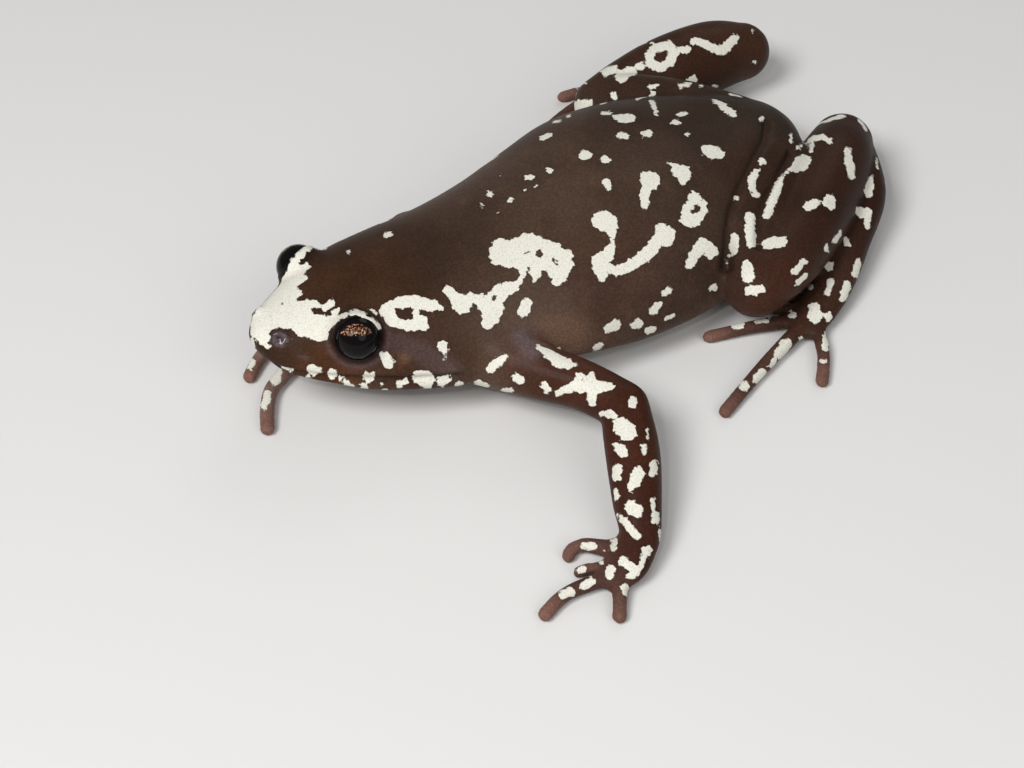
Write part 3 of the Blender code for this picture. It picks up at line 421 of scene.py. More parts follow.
def addFaceForms(bm):
    for side in (-1, 1):
        faces = sideOf(face["faces"], side).normalized()
        addBall(bm, sideOf(face["lid"], side), face["lidRadius"])
        rim = addBall(bm, Vector(), eyes["radius"] + face["rim"], *face["rimSides"])
        for vert in rim:  # a collar that ends a little ahead of the eye's middle
            vert.co.z = min(vert.co.z, face["rimAhead"])
        bmesh.ops.rotate(bm, matrix=Vector((0, 0, 1)).rotation_difference(faces).to_matrix(), verts=rim)
        bmesh.ops.translate(bm, vec=sideOf(eyes["place"], side), verts=rim)
        addBall(bm, sideOf(face["nostrilRim"], side), face["nostrilRimRadius"])


def newObject(name, bm):
    bmesh.ops.recalc_face_normals(bm, faces=bm.faces)
    mesh = bpy.data.meshes.new(name)
    bm.to_mesh(mesh)
    bm.free()
    made = bpy.data.objects.new(name, mesh)
    bpy.context.scene.collection.objects.link(made)
    return made


def applied(made, kind, **settings):
    modifier = made.modifiers.new(kind, kind)
    for name, value in settings.items():
        setattr(modifier, name, value)
    mesh = bpy.data.meshes.new_from_object(made.evaluated_get(bpy.context.evaluated_depsgraph_get()))
    made.modifiers.clear()
    old = made.data
    made.data = mesh
    bpy.data.meshes.remove(old)


def smoothed(bm, verts, times):
    for _ in range(times):
        bmesh.ops.smooth_vert(bm, verts=verts, factor=0.5, use_axis_x=True, use_axis_y=True, use_axis_z=True)


def keepLargest(bm):  # the outer shell stays and the hollows inside it go
    left = set(bm.verts)
    pieces = []
    while left:
        stack = [left.pop()]
        piece = set(stack)
        while stack:
            for edge in stack.pop().link_edges:
                other = edge.verts[0] if edge.verts[0] not in piece else edge.verts[1]
                if other not in piece:
                    piece.add(other)
                    stack.append(other)
        left -= piece
        pieces.append(piece)
    pieces.sort(key=len)
    scraps = [vert for piece in pieces[:-1] for vert in piece]
    bmesh.ops.delete(bm, geom=scraps, context="VERTS")
    return len(pieces)


def bodySide(y, z, side):
    table = np.array(list(body.values()))
    bend, half, top, under, widest, square = (float(np.interp(y, table[:, 0], part)) for part in table.T[1:])
    reach = (top - widest) if z > widest else (widest - under)
    share = min(abs(z - widest) / reach, 1.0)
    return Vector((bend + side * half * (1 - share ** square) ** (1 / square), y, z))


def mouthStroke():  # round the snout from the right corner to the left one
    front, corner, curve = face["mouthFront"], face["mouthCorner"], face["mouthCurve"]
    half = []
    for k in range(face["mouthPoints"]):
        t = k / (face["mouthPoints"] - 1)
        half.append([a + (b - a) * t ** power for a, b, power in zip(front, corner, curve)])
    line = [bodySide(y, z, -1) for y, z in half][::-1] + [bodySide(y, z, 1) for y, z in half]
    return [(tuple(place), 0.0) for place in line]


def makeSkin():
    bm = bmesh.new()
    bodyPath = smoothPath(list(body.values()), skinMesh["steps"])
    loftInto(bm, skinMesh["bodySides"], [bodyRing(*ring) for ring in bodyPath])
    for stations in limbs.values():
        loftInto(bm, skinMesh["limbSides"], limbRings(stations))
    addFaceForms(bm)
    skin = newObject("frogSkin", bm)
    applied(skin, "REMESH", mode="VOXEL", voxel_size=skinMesh["grid"])
    bm = bmesh.new()
    bm.from_mesh(skin.data)
    print("shells found", keepLargest(bm))
    near = [vert for vert in bm.verts
            if any((vert.co - Vector(place[:3])).length < place[3] for place in softPlaces.values())]
    smoothed(bm, near, skinMesh["softenTimes"])
    smoothed(bm, bm.verts[:], skinMesh["smoothTimes"])
    for vert in bm.verts:
        vert.co.z = max(vert.co.z, 0)
    bm.to_mesh(skin.data)
    bm.free()
    sockets = bmesh.new()
    for side in (-1, 1):
        radius = eyes["radius"] + face["socketGap"]
        addBall(sockets, sideOf(eyes["place"], side), radius, *face["socketSides"])
    cutter = newObject("sockets", sockets)
    applied(skin, "BOOLEAN", operation="DIFFERENCE", object=cutter, solver="MANIFOLD")
    bpy.data.objects.remove(cutter)
    return skin


# The next few work on many points at once.
def valuesOf(mesh, name):
    values = np.empty(len(mesh.vertices) * 3, np.float32)
    mesh.vertices.foreach_get(name, values)
    return values.reshape(-1, 3).astype(float)


def keepValue(mesh, name, values):
    layer = mesh.attributes.new(name, "FLOAT", "POINT")
    layer.data.foreach_set("value", values.astype(np.float32))


def awayFrom(points, place):
    return np.linalg.norm(points - np.array(place), axis=1)


def fading(away, width, power=2):  # one on the spot, falling to nought past the width
    return np.exp(-(away / width) ** power)


def shareAlong(points, start, line):
    return np.clip((points - start) @ line / max(float(line @ line), nearNought), 0, 1)


def toStroke(points, stroke):  # millimetres from each point to a stroke's edge, less than nought inside it
    nearest = np.full(len(points), farOff)
    marks = [(np.array(place), half) for place, half in stroke]
    for (start, startHalf), (end, endHalf) in zip(marks, marks[1:] or marks):
        line = end - start
        share = shareAlong(points, start, line)
        away = np.linalg.norm(points - start - share[:, None] * line, axis=1)
        nearest = np.minimum(nearest, away - startHalf - (endHalf - startHalf) * share)
    return nearest


# Markings: each stroke is laid on the skin where the camera sees its picture places.
painting = {"rough": 0.11, "roughSize": 0.26, "widest": 0.6, "stretch": 2.1, "slack": 0.1,
            "stepsFrom": 90, "step": 0.5, "steps": 80, "offSkin": 0.05,
            "unseenStrokes": 90, "tries": 4000, "unseenGap": 1.5, "lowest": 1.3, "leastUp": -0.35,
            "eyeGap": 0.9, "seed": 7, "halves": (0.14, 0.18, 0.22, 0.26, 0.32, 0.4), "places": (2, 2, 3),
            "spacing": 1.5, "uneven": (0.75, 1.1)}


def castStroke(tree, stroke):  # the stroke with the place on the skin that the camera sees at each dot
    place = Vector(camera["place"])
    laid = []
    for px, py, half in stroke:
        ahead = lookThrough(px, py)
        hit = tree.ray_cast(place, ahead)[0]
        if hit is None:  # just past the outline: the nearest skin beside the line of sight
            steps = [place + ahead * (painting["stepsFrom"] + painting["step"] * k)
                     for k in range(painting["steps"])]
            found = [(tree.find_nearest(step)[0], step) for step in steps]
            hit = min(found, key=lambda pair: (pair[0] - pair[1]).length)[0]
        laid.append((tuple(hit), half / 100, (px, py)))
    return laid


def pictureOf(points):  # where each point shows, and how many dots of the picture a millimetre takes there
    seen = (points - np.array(camera["place"])) @ np.array(cameraTurn.to_matrix())
    scale = focal / -seen[:, 2]
    return np.c_[camera["wide"] / 2 + seen[:, 0] * scale, camera["high"] / 2 - seen[:, 1] * scale], scale


def toSeenStroke(points, picture, stroke):  # as the camera sees it, kept to the skin round the stroke
    dots, scale = picture
    nearest = np.full(len(points), farOff)
    marks = [(np.array(place), half, np.array(dot)) for place, half, dot in stroke]
    for (start, startHalf, startDot), (end, endHalf, endDot) in zip(marks, marks[1:] or marks):
        line = endDot - startDot
        share = shareAlong(dots, startDot, line)
        half = startHalf + (endHalf - startHalf) * share
        flat = np.linalg.norm(dots - startDot - share[:, None] * line, axis=1) / scale - half
        true = np.linalg.norm(points - start - share[:, None] * (end - start), axis=1)
        true -= half * painting["stretch"] + painting["slack"]
        nearest = np.minimum(nearest, np.maximum(flat, true))
    return nearest


def treeOf(mesh, points):
    faces = [tuple(polygon.vertices) for polygon in mesh.polygons]
    return BVHTree.FromPolygons(points.tolist(), faces)


def sculptSkin(mesh):
    points, normals = valuesOf(mesh, "co"), valuesOf(mesh, "normal")
    away = toStroke(points, mouthStroke())
    push = face["mouthDepth"] * fading(away, face["mouthWidth"])
    push -= face["lipHeight"] * fading(away - face["lipAway"], face["lipWidth"])
    for side in (-1, 1):
        away = awayFrom(points, sideOf(face["nostril"], side))
        push += face["nostrilDepth"] * fading(away, face["nostrilRadius"], 4)
        push -= face["ringHeight"] * fading(away - face["ringRadius"], face["ringWidth"])
    tree = treeOf(mesh, points)
    picture = pictureOf(points)
    for line, depth, width in creases.values():
        away = toSeenStroke(points, picture, castStroke(tree, [(px, py, 0) for px, py in line]))
        push += depth * fading(np.maximum(away, 0), width)
    points -= normals * push[:, None]
    mesh.vertices.foreach_set("co", points.ravel().astype(np.float32))
    mesh.update()


skin = makeSkin()
sculptSkin(skin.data)
print("skin modelled", len(skin.data.polygons))


def unseenPoints(tree, points, normals):  # which points the camera can't see
    place = Vector(camera["place"])
    unseen = np.ones(len(points), bool)
    for k, (point, normal) in enumerate(zip(points, normals)):
        towards = place - Vector(point)
        if towards.dot(Vector(normal)) > 0:
            start = Vector(point) + Vector(normal) * painting["offSkin"]
            unseen[k] = tree.ray_cast(start, towards.normalized())[0] is not None
    return unseen


def mirroredStrokes(tree, strokes, unseen, points):
    kept = []
    for stroke in (stroke for region in mirroredRegions for stroke in strokes[region]):
        other = []
        for place, half, _ in stroke:
            nearest = tree.find_nearest(sideOf(place, -1))[0]
            other.append((tuple(nearest), half))
        close = [awayFrom(points, place).argmin() for place, _ in other]
        if all(unseen[close]):
            kept.append(other)
    return kept


def scatteredStrokes(tree, strokes, unseen, points, normals):  # where the photograph doesn't show the skin
    rng = random.Random(painting["seed"])
    taken = [np.array(place) for stroke in strokes for place, _ in stroke]
    able = unseen & (points[:, 2] > painting["lowest"]) & (normals[:, 2] > painting["leastUp"])
    for side in (-1, 1):  # none inside a socket or beside it
        able &= awayFrom(points, sideOf(eyes["place"], side)) > eyes["radius"] + painting["eyeGap"]
    able = np.flatnonzero(able)
    made = []
    tries = 0
    while len(made) < painting["unseenStrokes"] and tries < painting["tries"] and len(able):
        tries += 1
        k = int(able[rng.randrange(len(able))])
        place = points[k]
        if min(np.linalg.norm(place - other) for other in taken) < painting["unseenGap"]:
            continue
        half = rng.choice(painting["halves"])
        way = Vector((rng.uniform(-1, 1), rng.uniform(-1, 1), rng.uniform(-0.5, 0.5)))
        way -= way.project(Vector(normals[k]))
        way.normalize()
        stroke = []
        for step in range(rng.choice(painting["places"])):
            spot = tree.find_nearest(Vector(place) + way * half * painting["spacing"] * step)[0]
            stroke.append((tuple(spot), half * rng.uniform(*painting["uneven"])))
        taken += [np.array(spot) for spot, _ in stroke]
        made.append(stroke)
    return made


def wavered(points):  # points moved a little by noise, so that a stroke's edge wanders
    moved = np.empty_like(points)
    noise.seed_set(painting["seed"])  # without a seed the noise changes with the clock
    for k, point in enumerate(points):
        moved[k] = noise.noise_vector(Vector(point) / painting["roughSize"])
    return points + moved * painting["rough"]


def paintSkin(mesh, points, normals):
    tree = treeOf(mesh, points)
    strokes = {name: [castStroke(tree, stroke) for stroke in marks] for name, marks in paleMarks.items()}
    seen = [stroke for region in strokes.values() for stroke in region]
    unseen = unseenPoints(tree, points, normals)
    hidden = mirroredStrokes(tree, strokes, unseen, points)
    drawn = [[(place, half) for place, half, _ in stroke] for stroke in seen]
    hidden += scatteredStrokes(tree, drawn + hidden, unseen, points, normals)
    rough = wavered(points)
    picture = pictureOf(rough)
    away = np.full(len(points), farOff)
    for stroke in seen:
        away = np.minimum(away, toSeenStroke(rough, picture, stroke))
    for stroke in hidden:
        away = np.minimum(away, toStroke(rough, stroke))
    for gap in (gap for region in brownGaps.values() for gap in region):
        away = np.maximum(away, -toSeenStroke(rough, picture, castStroke(tree, gap)))
    keepValue(mesh, "paleEdge", np.clip(away, -painting["widest"], painting["widest"]))


# Tints of the brown skin: a place, how far it reaches and its colour.
tints = {
    "snout": ((0.0, 0.5, 4.9), 2.0, (0.05, 0.024, 0.014)),
    "left lip": ((2.9, 2.6, 3.4), 1.3, (0.105, 0.04, 0.016)),
    "right lip": ((-2.9, 2.6, 3.4), 1.3, (0.105, 0.04, 0.016)),
    "left cheek": ((4.9, 6.4, 3.9), 2.2, (0.052, 0.023, 0.012)),
    "right cheek": ((-4.9, 6.4, 3.9), 2.2, (0.052, 0.023, 0.012)),
    "crown": ((0.0, 5.5, 6.4), 3.2, (0.054, 0.024, 0.011)),
    "neck": ((0.5, 12.0, 6.8), 4.0, (0.036, 0.017, 0.009)),
    "back": ((0.5, 18.0, 7.3), 5.0, (0.047, 0.023, 0.012)),
    "rear back": ((0.0, 25.0, 7.2), 4.5, (0.04, 0.022, 0.013)),
    "rump": ((0.5, 30.0, 5.5), 2.5, (0.046, 0.034, 0.024)),
    "left flank": ((7.3, 18.0, 2.6), 2.8, (0.044, 0.022, 0.014)),
    "right flank": ((-6.9, 18.0, 2.6), 2.8, (0.044, 0.022, 0.014)),
    "left upper flank": ((6.0, 17.0, 5.6), 2.6, (0.064, 0.027, 0.015)),
    "right upper flank": ((-5.6, 17.0, 5.6), 2.6, (0.064, 0.027, 0.015)),
    "left loin": ((6.8, 22.5, 4.6), 2.2, (0.04, 0.023, 0.015)),
    "right loin": ((-6.8, 22.5, 4.6), 2.2, (0.04, 0.023, 0.015)),
    "belly": ((0.0, 17.0, 0.0), 6.0, (0.3, 0.23, 0.18)),
    "throat": ((0.0, 6.0, 1.2), 3.0, (0.2, 0.14, 0.105)),
    "left arm": ((10.5, 12.8, 3.8), 3.4, (0.07, 0.024, 0.013)),
    "left forearm": ((15.0, 12.4, 2.4), 3.0, (0.06, 0.021, 0.012)),
    "right arm": ((-5.6, 11.5, 2.0), 3.0, (0.07, 0.024, 0.014)),
    "left shank": ((4.4, 30.8, 3.6), 4.2, (0.045, 0.02, 0.012)),
    "left knee": ((8.6, 24.2, 2.8), 1.7, (0.085, 0.03, 0.017)),
    "right shank": ((-9.0, 31.5, 3.6), 4.2, (0.06, 0.028, 0.016)),
    "left foot": ((9.4, 27.6, 0.8), 2.4, (0.062, 0.03, 0.019)),
    "right foot": ((-12.0, 29.0, 0.8), 2.4, (0.062, 0.03, 0.019)),
    "left hand": ((18.2, 9.6, 0.9), 2.0, (0.07, 0.026, 0.017)),
    "right hand": ((-3.8, 5.3, 0.7), 2.0, (0.085, 0.028, 0.016)),
}
# Pink tips of fingers and toes; farHand, for the right hand's fingers, is their own grey-pink made lighter as
# painted light against the shade under the chin.
tipTint = {"colour": (0.235, 0.128, 0.1), "reach": 1.15, "along": (0.11, 0.056, 0.042),
           "alongReach": 0.75, "farHand": (0.3, 0.2, 0.165)}
# Soft hazes over the brown: picture stroke, softness, colour and strength. The one behind the eye is a painted
# highlight on the ridge there, and the one at the nostril is partly painted shade in its pit.
hazes = {
    "highlight behind eye": ([(398, 343, 10), (424, 354, 20), (450, 370, 20)], 0.4, (0.13, 0.095, 0.095), 0.5),
    "armpit": ([(521, 336, 10), (531, 348, 20)], 0.4, (0.19, 0.15, 0.16), 0.6),
    "chest side": ([(552, 331, 20), (572, 334, 20)], 0.7, (0.2, 0.118, 0.082), 0.65),
    "cheek spot": ([(404, 358, 5)], 0.25, (0.22, 0.12, 0.065), 0.5),
    # the nostril haze is dark purple, partly the skin's own tone, partly painted shade of the pit
    "nostril": ([(278.5, 336, 36)], 0.1, (0.045, 0.026, 0.026), 0.9),
}
# Round each nostril: a lilac ring, partly its own tone and partly a painted sheen, and painted shade darkening
# the pit.
nostrilTint = {"lilac": (0.17, 0.13, 0.15), "strength": 0.75, "dark": (0.006, 0.004, 0.005),
               "shadeReach": 0.15, "wetReach": 0.42}
# Round each eye: painted shade ("dark") in the gap between the eye and its lids, and a lilac band on the lower
# lid.
eyeMargin = {"dark": (0.004, 0.003, 0.004), "shadeReach": 0.19, "lilac": (0.15, 0.11, 0.12),
             "lilacAt": 0.36, "lilacWidth": 0.12, "strength": 0.6, "top": 0.8}
wetLip = {"stroke": [(287, 345, 10), (296, 350, 12), (306, 357, 6)], "soft": 0.12}


def blended(tint, colour, share):
    share = share[:, None]
    return tint * (1 - share) + np.array(colour) * share


def tintSkin(mesh, points):  # the brown of each place, with painted shade at the mouth, nostrils and eyes and a painted highlight behind the eye, and how wet it is
    total = np.zeros((len(points), 3))
    weight = np.full(len(points), nearNought)
    for place, reach, colour in tints.values():
        share = fading(awayFrom(points, place), reach) + 1e-7  # so that far from all of them they mix evenly
        total += share[:, None] * np.array(colour)
        weight += share
    tint = total / weight[:, None]
    for name, stations in limbs.items():  # the tips of fingers and toes are pink
        if name.startswith(("finger", "toe")):
            along = toStroke(points, [(tuple(station[:3]), station[3]) for station in stations[1:]])
            # the right hand's fingers are lighter, partly painted light
            farHand = name.startswith("finger") and name.endswith("right")
            colour = tipTint["farHand" if farHand else "along"]
            tint = blended(tint, colour, fading(np.maximum(along, 0), tipTint["alongReach"]))
            tip = awayFrom(points, stations[-1][:3])
            tint = blended(tint, tipTint["colour"], fading(tip, tipTint["reach"]))
    tree = treeOf(mesh, points)
    picture = pictureOf(points)

    def outside(stroke):
        return np.maximum(toSeenStroke(points, picture, castStroke(tree, stroke)), 0)

    for stroke, soft, colour, strength in hazes.values():
        tint = blended(tint, colour, strength * fading(outside(stroke), soft))
    away = toStroke(points, mouthStroke())
    # painted shade: the mouth line darkened along its groove
    tint = blended(tint, (0, 0, 0), face["mouthShade"] * fading(away, face["mouthWidth"]))
    wet = fading(outside(wetLip["stroke"]), wetLip["soft"])
    for side in (-1, 1):
        eye = sideOf(eyes["place"], side)
        away = awayFrom(points, eye) - eyes["radius"]
        below = np.clip(eyeMargin["top"] - (points[:, 2] - eye.z) / eyes["radius"], 0, 1)
        lilac = fading(away - eyeMargin["lilacAt"], eyeMargin["lilacWidth"]) * below
        tint = blended(tint, eyeMargin["lilac"], eyeMargin["strength"] * lilac)
        # painted shade in the gap between the eye and its lids
        tint = blended(tint, eyeMargin["dark"], fading(np.maximum(away, 0), eyeMargin["shadeReach"]))
        away = awayFrom(points, sideOf(face["nostril"], side))
        wet = np.maximum(wet, fading(away, nostrilTint["wetReach"], 4))
        ring = fading(away - face["ringRadius"], face["ringWidth"])
        # the lilac ring, partly a painted sheen
        tint = blended(tint, nostrilTint["lilac"], nostrilTint["strength"] * ring)
        # painted shade in the nostril's pit
        tint = blended(tint, nostrilTint["dark"], fading(away, nostrilTint["shadeReach"]))
    keepValue(mesh, "wet", wet)
    layer = mesh.attributes.new("tint", "FLOAT_COLOR", "POINT")
    layer.data.foreach_set("color", np.c_[tint, np.ones(len(tint))].astype(np.float32).ravel())


# Painted shade in the skin's folds and hollows: how far round to look, how often to soften, and the depth of
# full shade.
folds = {"around": 6, "soften": 3, "deep": 0.1}


def markFoldShade(mesh, points, normals):  # how deep in the folds each point lies, kept for the painted shade there
    edges = np.empty(len(mesh.edges) * 2, np.int32)
    mesh.edges.foreach_get("vertices", edges)
    edges = edges.reshape(-1, 2)
    count = np.bincount(edges.ravel(), minlength=len(points))[:, None]

    def averaged(values, times):
        for _ in range(times):
            summed = np.zeros_like(values)
            np.add.at(summed, edges[:, 0], values[edges[:, 1]])
            np.add.at(summed, edges[:, 1], values[edges[:, 0]])
            values = summed / np.maximum(count, 1)
        return values

    around = averaged(points, folds["around"])
    fold = averaged(((around - points) * normals).sum(1)[:, None], folds["soften"])
    keepValue(mesh, "fold", np.clip(fold[:, 0] / folds["deep"], 0, 1))


def setDown(made):
    made.data.transform(Matrix.Translation(snoutFloor) @ Matrix.Scale(mm, 4))
    made.data.shade_smooth()


points, normals = valuesOf(skin.data, "co"), valuesOf(skin.data, "normal")
paintSkin(skin.data, points, normals)
tintSkin(skin.data, points)
markFoldShade(skin.data, points, normals)
setDown(skin)
print("skin painted")


# Materials are built from these few steps.
def newMaterial(name):
    made = bpy.data.materials.new(name)
    made.use_nodes = True
    return made, made.node_tree, made.node_tree.nodes["Principled BSDF"]


def feed(tree, socket, value):  # a number, a colour or another node's output
    if isinstance(value, bpy.types.NodeSocket):
        tree.links.new(value, socket)
    elif socket.type == "RGBA":
        socket.default_value = (*value, 1.0)
    else:
        socket.default_value = value


def addNode(tree, kind, **settings):
    node = tree.nodes.new("ShaderNode" + kind)
    for name, value in settings.items():
        if name in node.inputs:
            feed(tree, node.inputs[name], value)
        else:
            setattr(node, name, value)
    return node


def valueOf(tree, name, output="Fac"):
    return addNode(tree, "Attribute", attribute_name=name).outputs[output]


def mathNode(tree, operation, *values):
    node = addNode(tree, "Math", operation=operation)
    for socket, value in zip(node.inputs, values):
        feed(tree, socket, value)
    return node.outputs[0]


def mixColour(tree, share, first, second, blend="MIX"):
    node = addNode(tree, "Mix", data_type="RGBA", blend_type=blend)
    for k, value in ((0, share), (6, first), (7, second)):
        feed(tree, node.inputs[k], value)
    return node.outputs[2]


def multiplied(tree, colour, by):
    return mixColour(tree, 1.0, colour, by, "MULTIPLY")


def ramp(tree, value, low, high, first=0.0, second=1.0):
    node = addNode(tree, "MapRange", interpolation_type="SMOOTHSTEP", Value=value)
    for name, number in (("From Min", low), ("From Max", high), ("To Min", first), ("To Max", second)):
        feed(tree, node.inputs[name], number)
    return node.outputs["Result"]


def noiseAt(tree, place, scale, detail=2.0, rough=0.5):
    return addNode(tree, "TexNoise", Vector=place, Scale=scale, Detail=detail, Roughness=rough).outputs["Fac"]


skinLook = {
    "pale": (0.83, 0.81, 0.71), "paleShade": (0.4, 0.37, 0.28),
    "paleGrains": (0.45, 0.8), "paleShare": 0.32,
    "edge": 0.022, "edgeNoise": 0.16, "edgeSize": 5200.0,
    "halo": (0.62, 0.6, 0.6), "haloEdge": (0.0, 0.16, 0.62, 1.0),
    "light": (1.14, 1.13, 1.12), "dark": (0.88, 0.86, 0.85), "cloudEdge": (0.38, 0.62),
    "speckle": (1.5, 1.35, 1.25), "speckleEdge": (0.54, 0.7, 0.0, 0.55),
    "pore": (0.7, 0.66, 0.64), "poreEdge": (0.42, 0.62, 0.0, 0.6),
    # painted shade: how dark the colour gets deep in folds and hollows
    "fold": (0.45, 0.4, 0.38), "foldShare": 0.8,
    "grain": 15000.0, "fine": 8250.0, "mottle": 900.0, "clouds": 260.0,
    "brownRoughness": 0.48, "paleRoughness": 0.55, "mottleRoughness": 0.16, "specular": 0.07,
    "coat": 0.015, "coatRoughness": 0.08, "wetCoat": 0.85, "wetFlat": 0.85,
    "bump": 0.35, "bumpDistance": 0.00002, "grainHeight": -0.6, "mottleHeight": 0.8, "paleHeight": 0.5,
}


def skinMaterial():
    made, tree, shader = newMaterial("moistSkin")
    look = skinLook
    place = addNode(tree, "TexCoord").outputs["Object"]
    tint, away = valueOf(tree, "tint", "Color"), valueOf(tree, "paleEdge")
    fold, wet = valueOf(tree, "fold"), valueOf(tree, "wet")
    clouds = noiseAt(tree, place, look["clouds"], 4.0)
    mottle = noiseAt(tree, place, look["mottle"], 5.0, 0.6)
    grain = addNode(tree, "TexVoronoi", Vector=place, Scale=look["grain"]).outputs["Distance"]
    fine = noiseAt(tree, place, look["fine"])
    # brown ground
    brown = mixColour(tree, ramp(tree, clouds, *look["cloudEdge"]), multiplied(tree, tint, look["dark"]),
                      multiplied(tree, tint, look["light"]))
    speckled = multiplied(tree, brown, look["speckle"])
    brown = mixColour(tree, ramp(tree, mottle, *look["speckleEdge"]), brown, speckled)
    pores = multiplied(tree, brown, look["pore"])
    brown = mixColour(tree, ramp(tree, fine, *look["poreEdge"]), pores, brown)
    # pale blotches with a ragged granular edge
    lumps = noiseAt(tree, place, look["edgeSize"], 4.0, 0.65)
    ragged = mathNode(tree, "MULTIPLY_ADD", lumps, look["edgeNoise"] * 2, -look["edgeNoise"])
    edge = mathNode(tree, "ADD", away, ragged)
    pale = ramp(tree, edge, -look["edge"], look["edge"], 1.0, 0.0)
    grains = mathNode(tree, "MULTIPLY", ramp(tree, grain, *look["paleGrains"]), look["paleShare"])
    paleColour = mixColour(tree, grains, look["pale"], look["paleShade"])
    haloed = multiplied(tree, brown, look["halo"])
    ground = mixColour(tree, ramp(tree, away, *look["haloEdge"]), haloed, brown)
    colour = mixColour(tree, pale, ground, paleColour)
    # painted shade: the colour darkens where the skin lies deep in folds
    folded = multiplied(tree, colour, look["fold"])
    colour = mixColour(tree, mathNode(tree, "MULTIPLY", fold, look["foldShare"]), colour, folded)
    paleStep = look["paleRoughness"] - look["brownRoughness"]
    roughness = mathNode(tree, "MULTIPLY_ADD", pale, paleStep, look["brownRoughness"])
    roughness = mathNode(tree, "SUBTRACT", roughness, look["mottleRoughness"] / 2)
    roughness = mathNode(tree, "MULTIPLY_ADD", mottle, look["mottleRoughness"], roughness)
    height = mathNode(tree, "MULTIPLY", mottle, look["mottleHeight"])
    height = mathNode(tree, "MULTIPLY_ADD", grain, look["grainHeight"], height)
    height = mathNode(tree, "MULTIPLY_ADD", pale, look["paleHeight"], height)
    height = mathNode(tree, "MULTIPLY", height, mathNode(tree, "MULTIPLY_ADD", wet, -look["wetFlat"], 1.0))
    bump = addNode(tree, "Bump", Strength=look["bump"], Distance=look["bumpDistance"], Height=height)
    for name, value in (("Base Color", colour), ("Roughness", roughness), ("Normal", bump.outputs["Normal"]),
                        ("Specular IOR Level", look["specular"]), ("Coat Roughness", look["coatRoughness"]),
                        ("Coat Weight", mathNode(tree, "MULTIPLY_ADD", wet, look["wetCoat"], look["coat"]))):
        feed(tree, shader.inputs[name], value)
    return made


skin.data.materials.clear()
skin.data.materials.append(skinMaterial())

# Eyes: black domes with copper flecks in the upper part.
eyeLook = {"black": (0.005, 0.004, 0.004), "copper": (0.42, 0.19, 0.1), "gold": (0.9, 0.58, 0.36),
           "flecks": 9000.0, "fleckEdge": (0.49, 0.6), "goldEdge": (0.56, 0.68),
           "axis": (0.78, -0.47, 0.41), "outer": (0.57, 0.63), "upper": (0.33, 0.42),
           "inward": {1: (-0.45, -0.2), -1: (0.3, 0.55)}, "roughness": 0.04, "specular": 0.1}


def makeEye(side, name):
    bm = bmesh.new()
    addBall(bm, sideOf(eyes["place"], side), eyes["radius"], eyes["sides"], eyes["rings"])
    eye = newObject(name, bm)
    setDown(eye)
    return eye


def vectorNode(tree, operation, *values):
    node = addNode(tree, "VectorMath", operation=operation)
    for socket, value in zip(node.inputs, values):
        feed(tree, socket, value)
    return node.outputs["Value" if operation == "DOT_PRODUCT" else "Vector"]


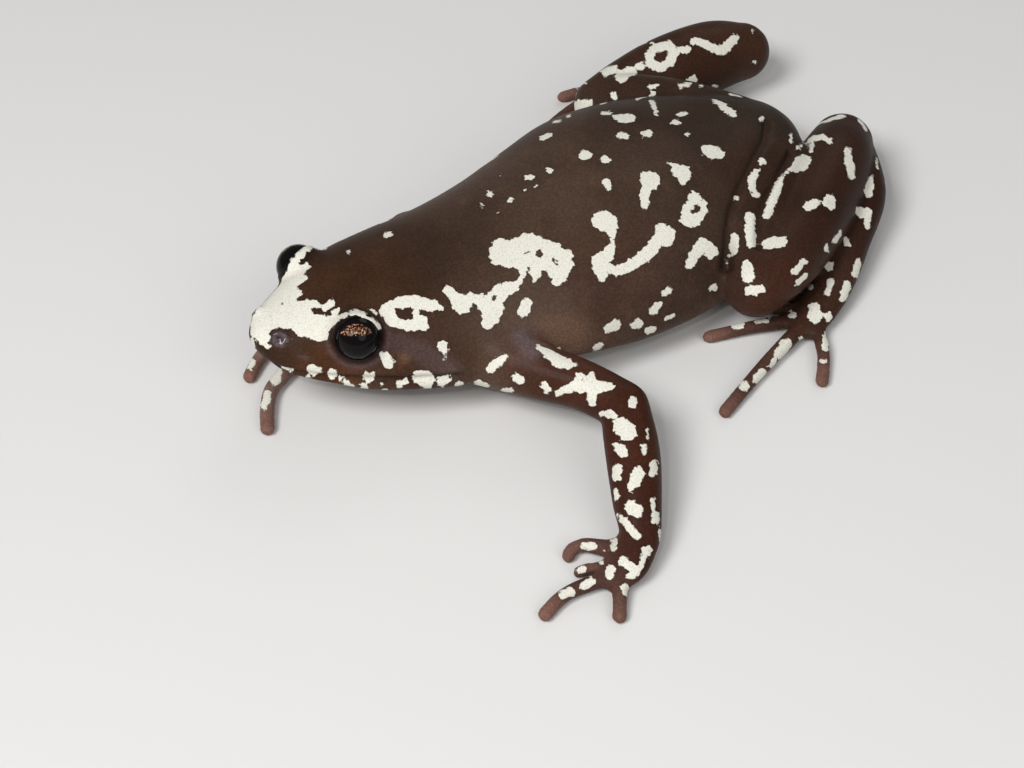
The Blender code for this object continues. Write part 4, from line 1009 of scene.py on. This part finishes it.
def eyeMaterial(name, side):
    made, tree, shader = newMaterial(name)
    place = addNode(tree, "TexCoord").outputs["Object"]
    centre = snoutFloor + sideOf(eyes["place"], side) * mm
    way = vectorNode(tree, "NORMALIZE", vectorNode(tree, "SUBTRACT", place, centre))
    axis = sideOf(eyeLook["axis"], side).normalized()
    upward = (Vector((0, 0, 1)) - axis * axis.z).normalized()
    ring = ramp(tree, vectorNode(tree, "DOT_PRODUCT", way, axis), *eyeLook["outer"])
    upper = ramp(tree, vectorNode(tree, "DOT_PRODUCT", way, upward), *eyeLook["upper"])
    shown = ramp(tree, vectorNode(tree, "DOT_PRODUCT", way, (side, 0, 0)), *eyeLook["inward"][side])
    iris = mathNode(tree, "MULTIPLY", mathNode(tree, "MULTIPLY", ring, upper), shown)
    flecks = noiseAt(tree, place, eyeLook["flecks"], 3.0, 0.75)
    share = mathNode(tree, "MULTIPLY", ramp(tree, flecks, *eyeLook["fleckEdge"]), iris)
    copper = mixColour(tree, ramp(tree, flecks, *eyeLook["goldEdge"]), eyeLook["copper"], eyeLook["gold"])
    feed(tree, shader.inputs["Base Color"], mixColour(tree, share, eyeLook["black"], copper))
    feed(tree, shader.inputs["Roughness"], eyeLook["roughness"])
    feed(tree, shader.inputs["Specular IOR Level"], eyeLook["specular"])
    return made


for side, node, name in ((1, "eye_left", "eyeLeft"), (-1, "eye_right", "eyeRight")):
    eye = makeEye(side, name)
    eye.data.materials.append(eyeMaterial(name + "Look", side))
    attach(eye, "root")
    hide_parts(node)
print("eyes made")

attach(skin, "root")
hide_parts(*[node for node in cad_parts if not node.startswith("eye")])

# Pale floor, soft lights and a pale room.
studio = {"floor": 0.8, "floorColour": (0.8, 0.79, 0.77), "floorRoughness": 0.7, "room": (0.96, 0.97, 1.0),
          "roomStrength": 0.2}
lamps = {  # place and size in metres from the frog's middle, power in watts
    "key": ((0.04, -0.17, 0.22), 0.12, 0.5),
    "fill": ((0.2, 0.0, 0.16), 0.18, 0.16),
    "back": ((-0.12, 0.16, 0.16), 0.12, 0.05),
    "flash": ((0.0572, -0.0559, 0.085), 0.004, 0.012),
}


def makeStudio():
    bm = bmesh.new()
    bmesh.ops.create_grid(bm, x_segments=1, y_segments=1, size=studio["floor"] / 2)
    floor = newObject("floor", bm)
    made, tree, shader = newMaterial("paleFloor")
    feed(tree, shader.inputs["Base Color"], studio["floorColour"])
    feed(tree, shader.inputs["Roughness"], studio["floorRoughness"])
    floor.data.materials.append(made)
    for name, (place, size, power) in lamps.items():
        data = bpy.data.lights.new(name, "AREA")
        data.shape = "DISK"  # its reflection in the eyes is round
        data.size = size
        data.energy = power
        lamp = bpy.data.objects.new(name, data)
        lamp.location = place
        lamp.rotation_euler = (-Vector(place)).to_track_quat("-Z", "Y").to_euler()
        bpy.context.scene.collection.objects.link(lamp)
    room = bpy.data.worlds.new("paleRoom")
    room.use_nodes = True
    back = room.node_tree.nodes["Background"]
    feed(room.node_tree, back.inputs["Color"], studio["room"])
    feed(room.node_tree, back.inputs["Strength"], studio["roomStrength"])
    bpy.context.scene.world = room
    bpy.context.scene.view_settings.view_transform = "Standard"


makeStudio()
print("studio made")
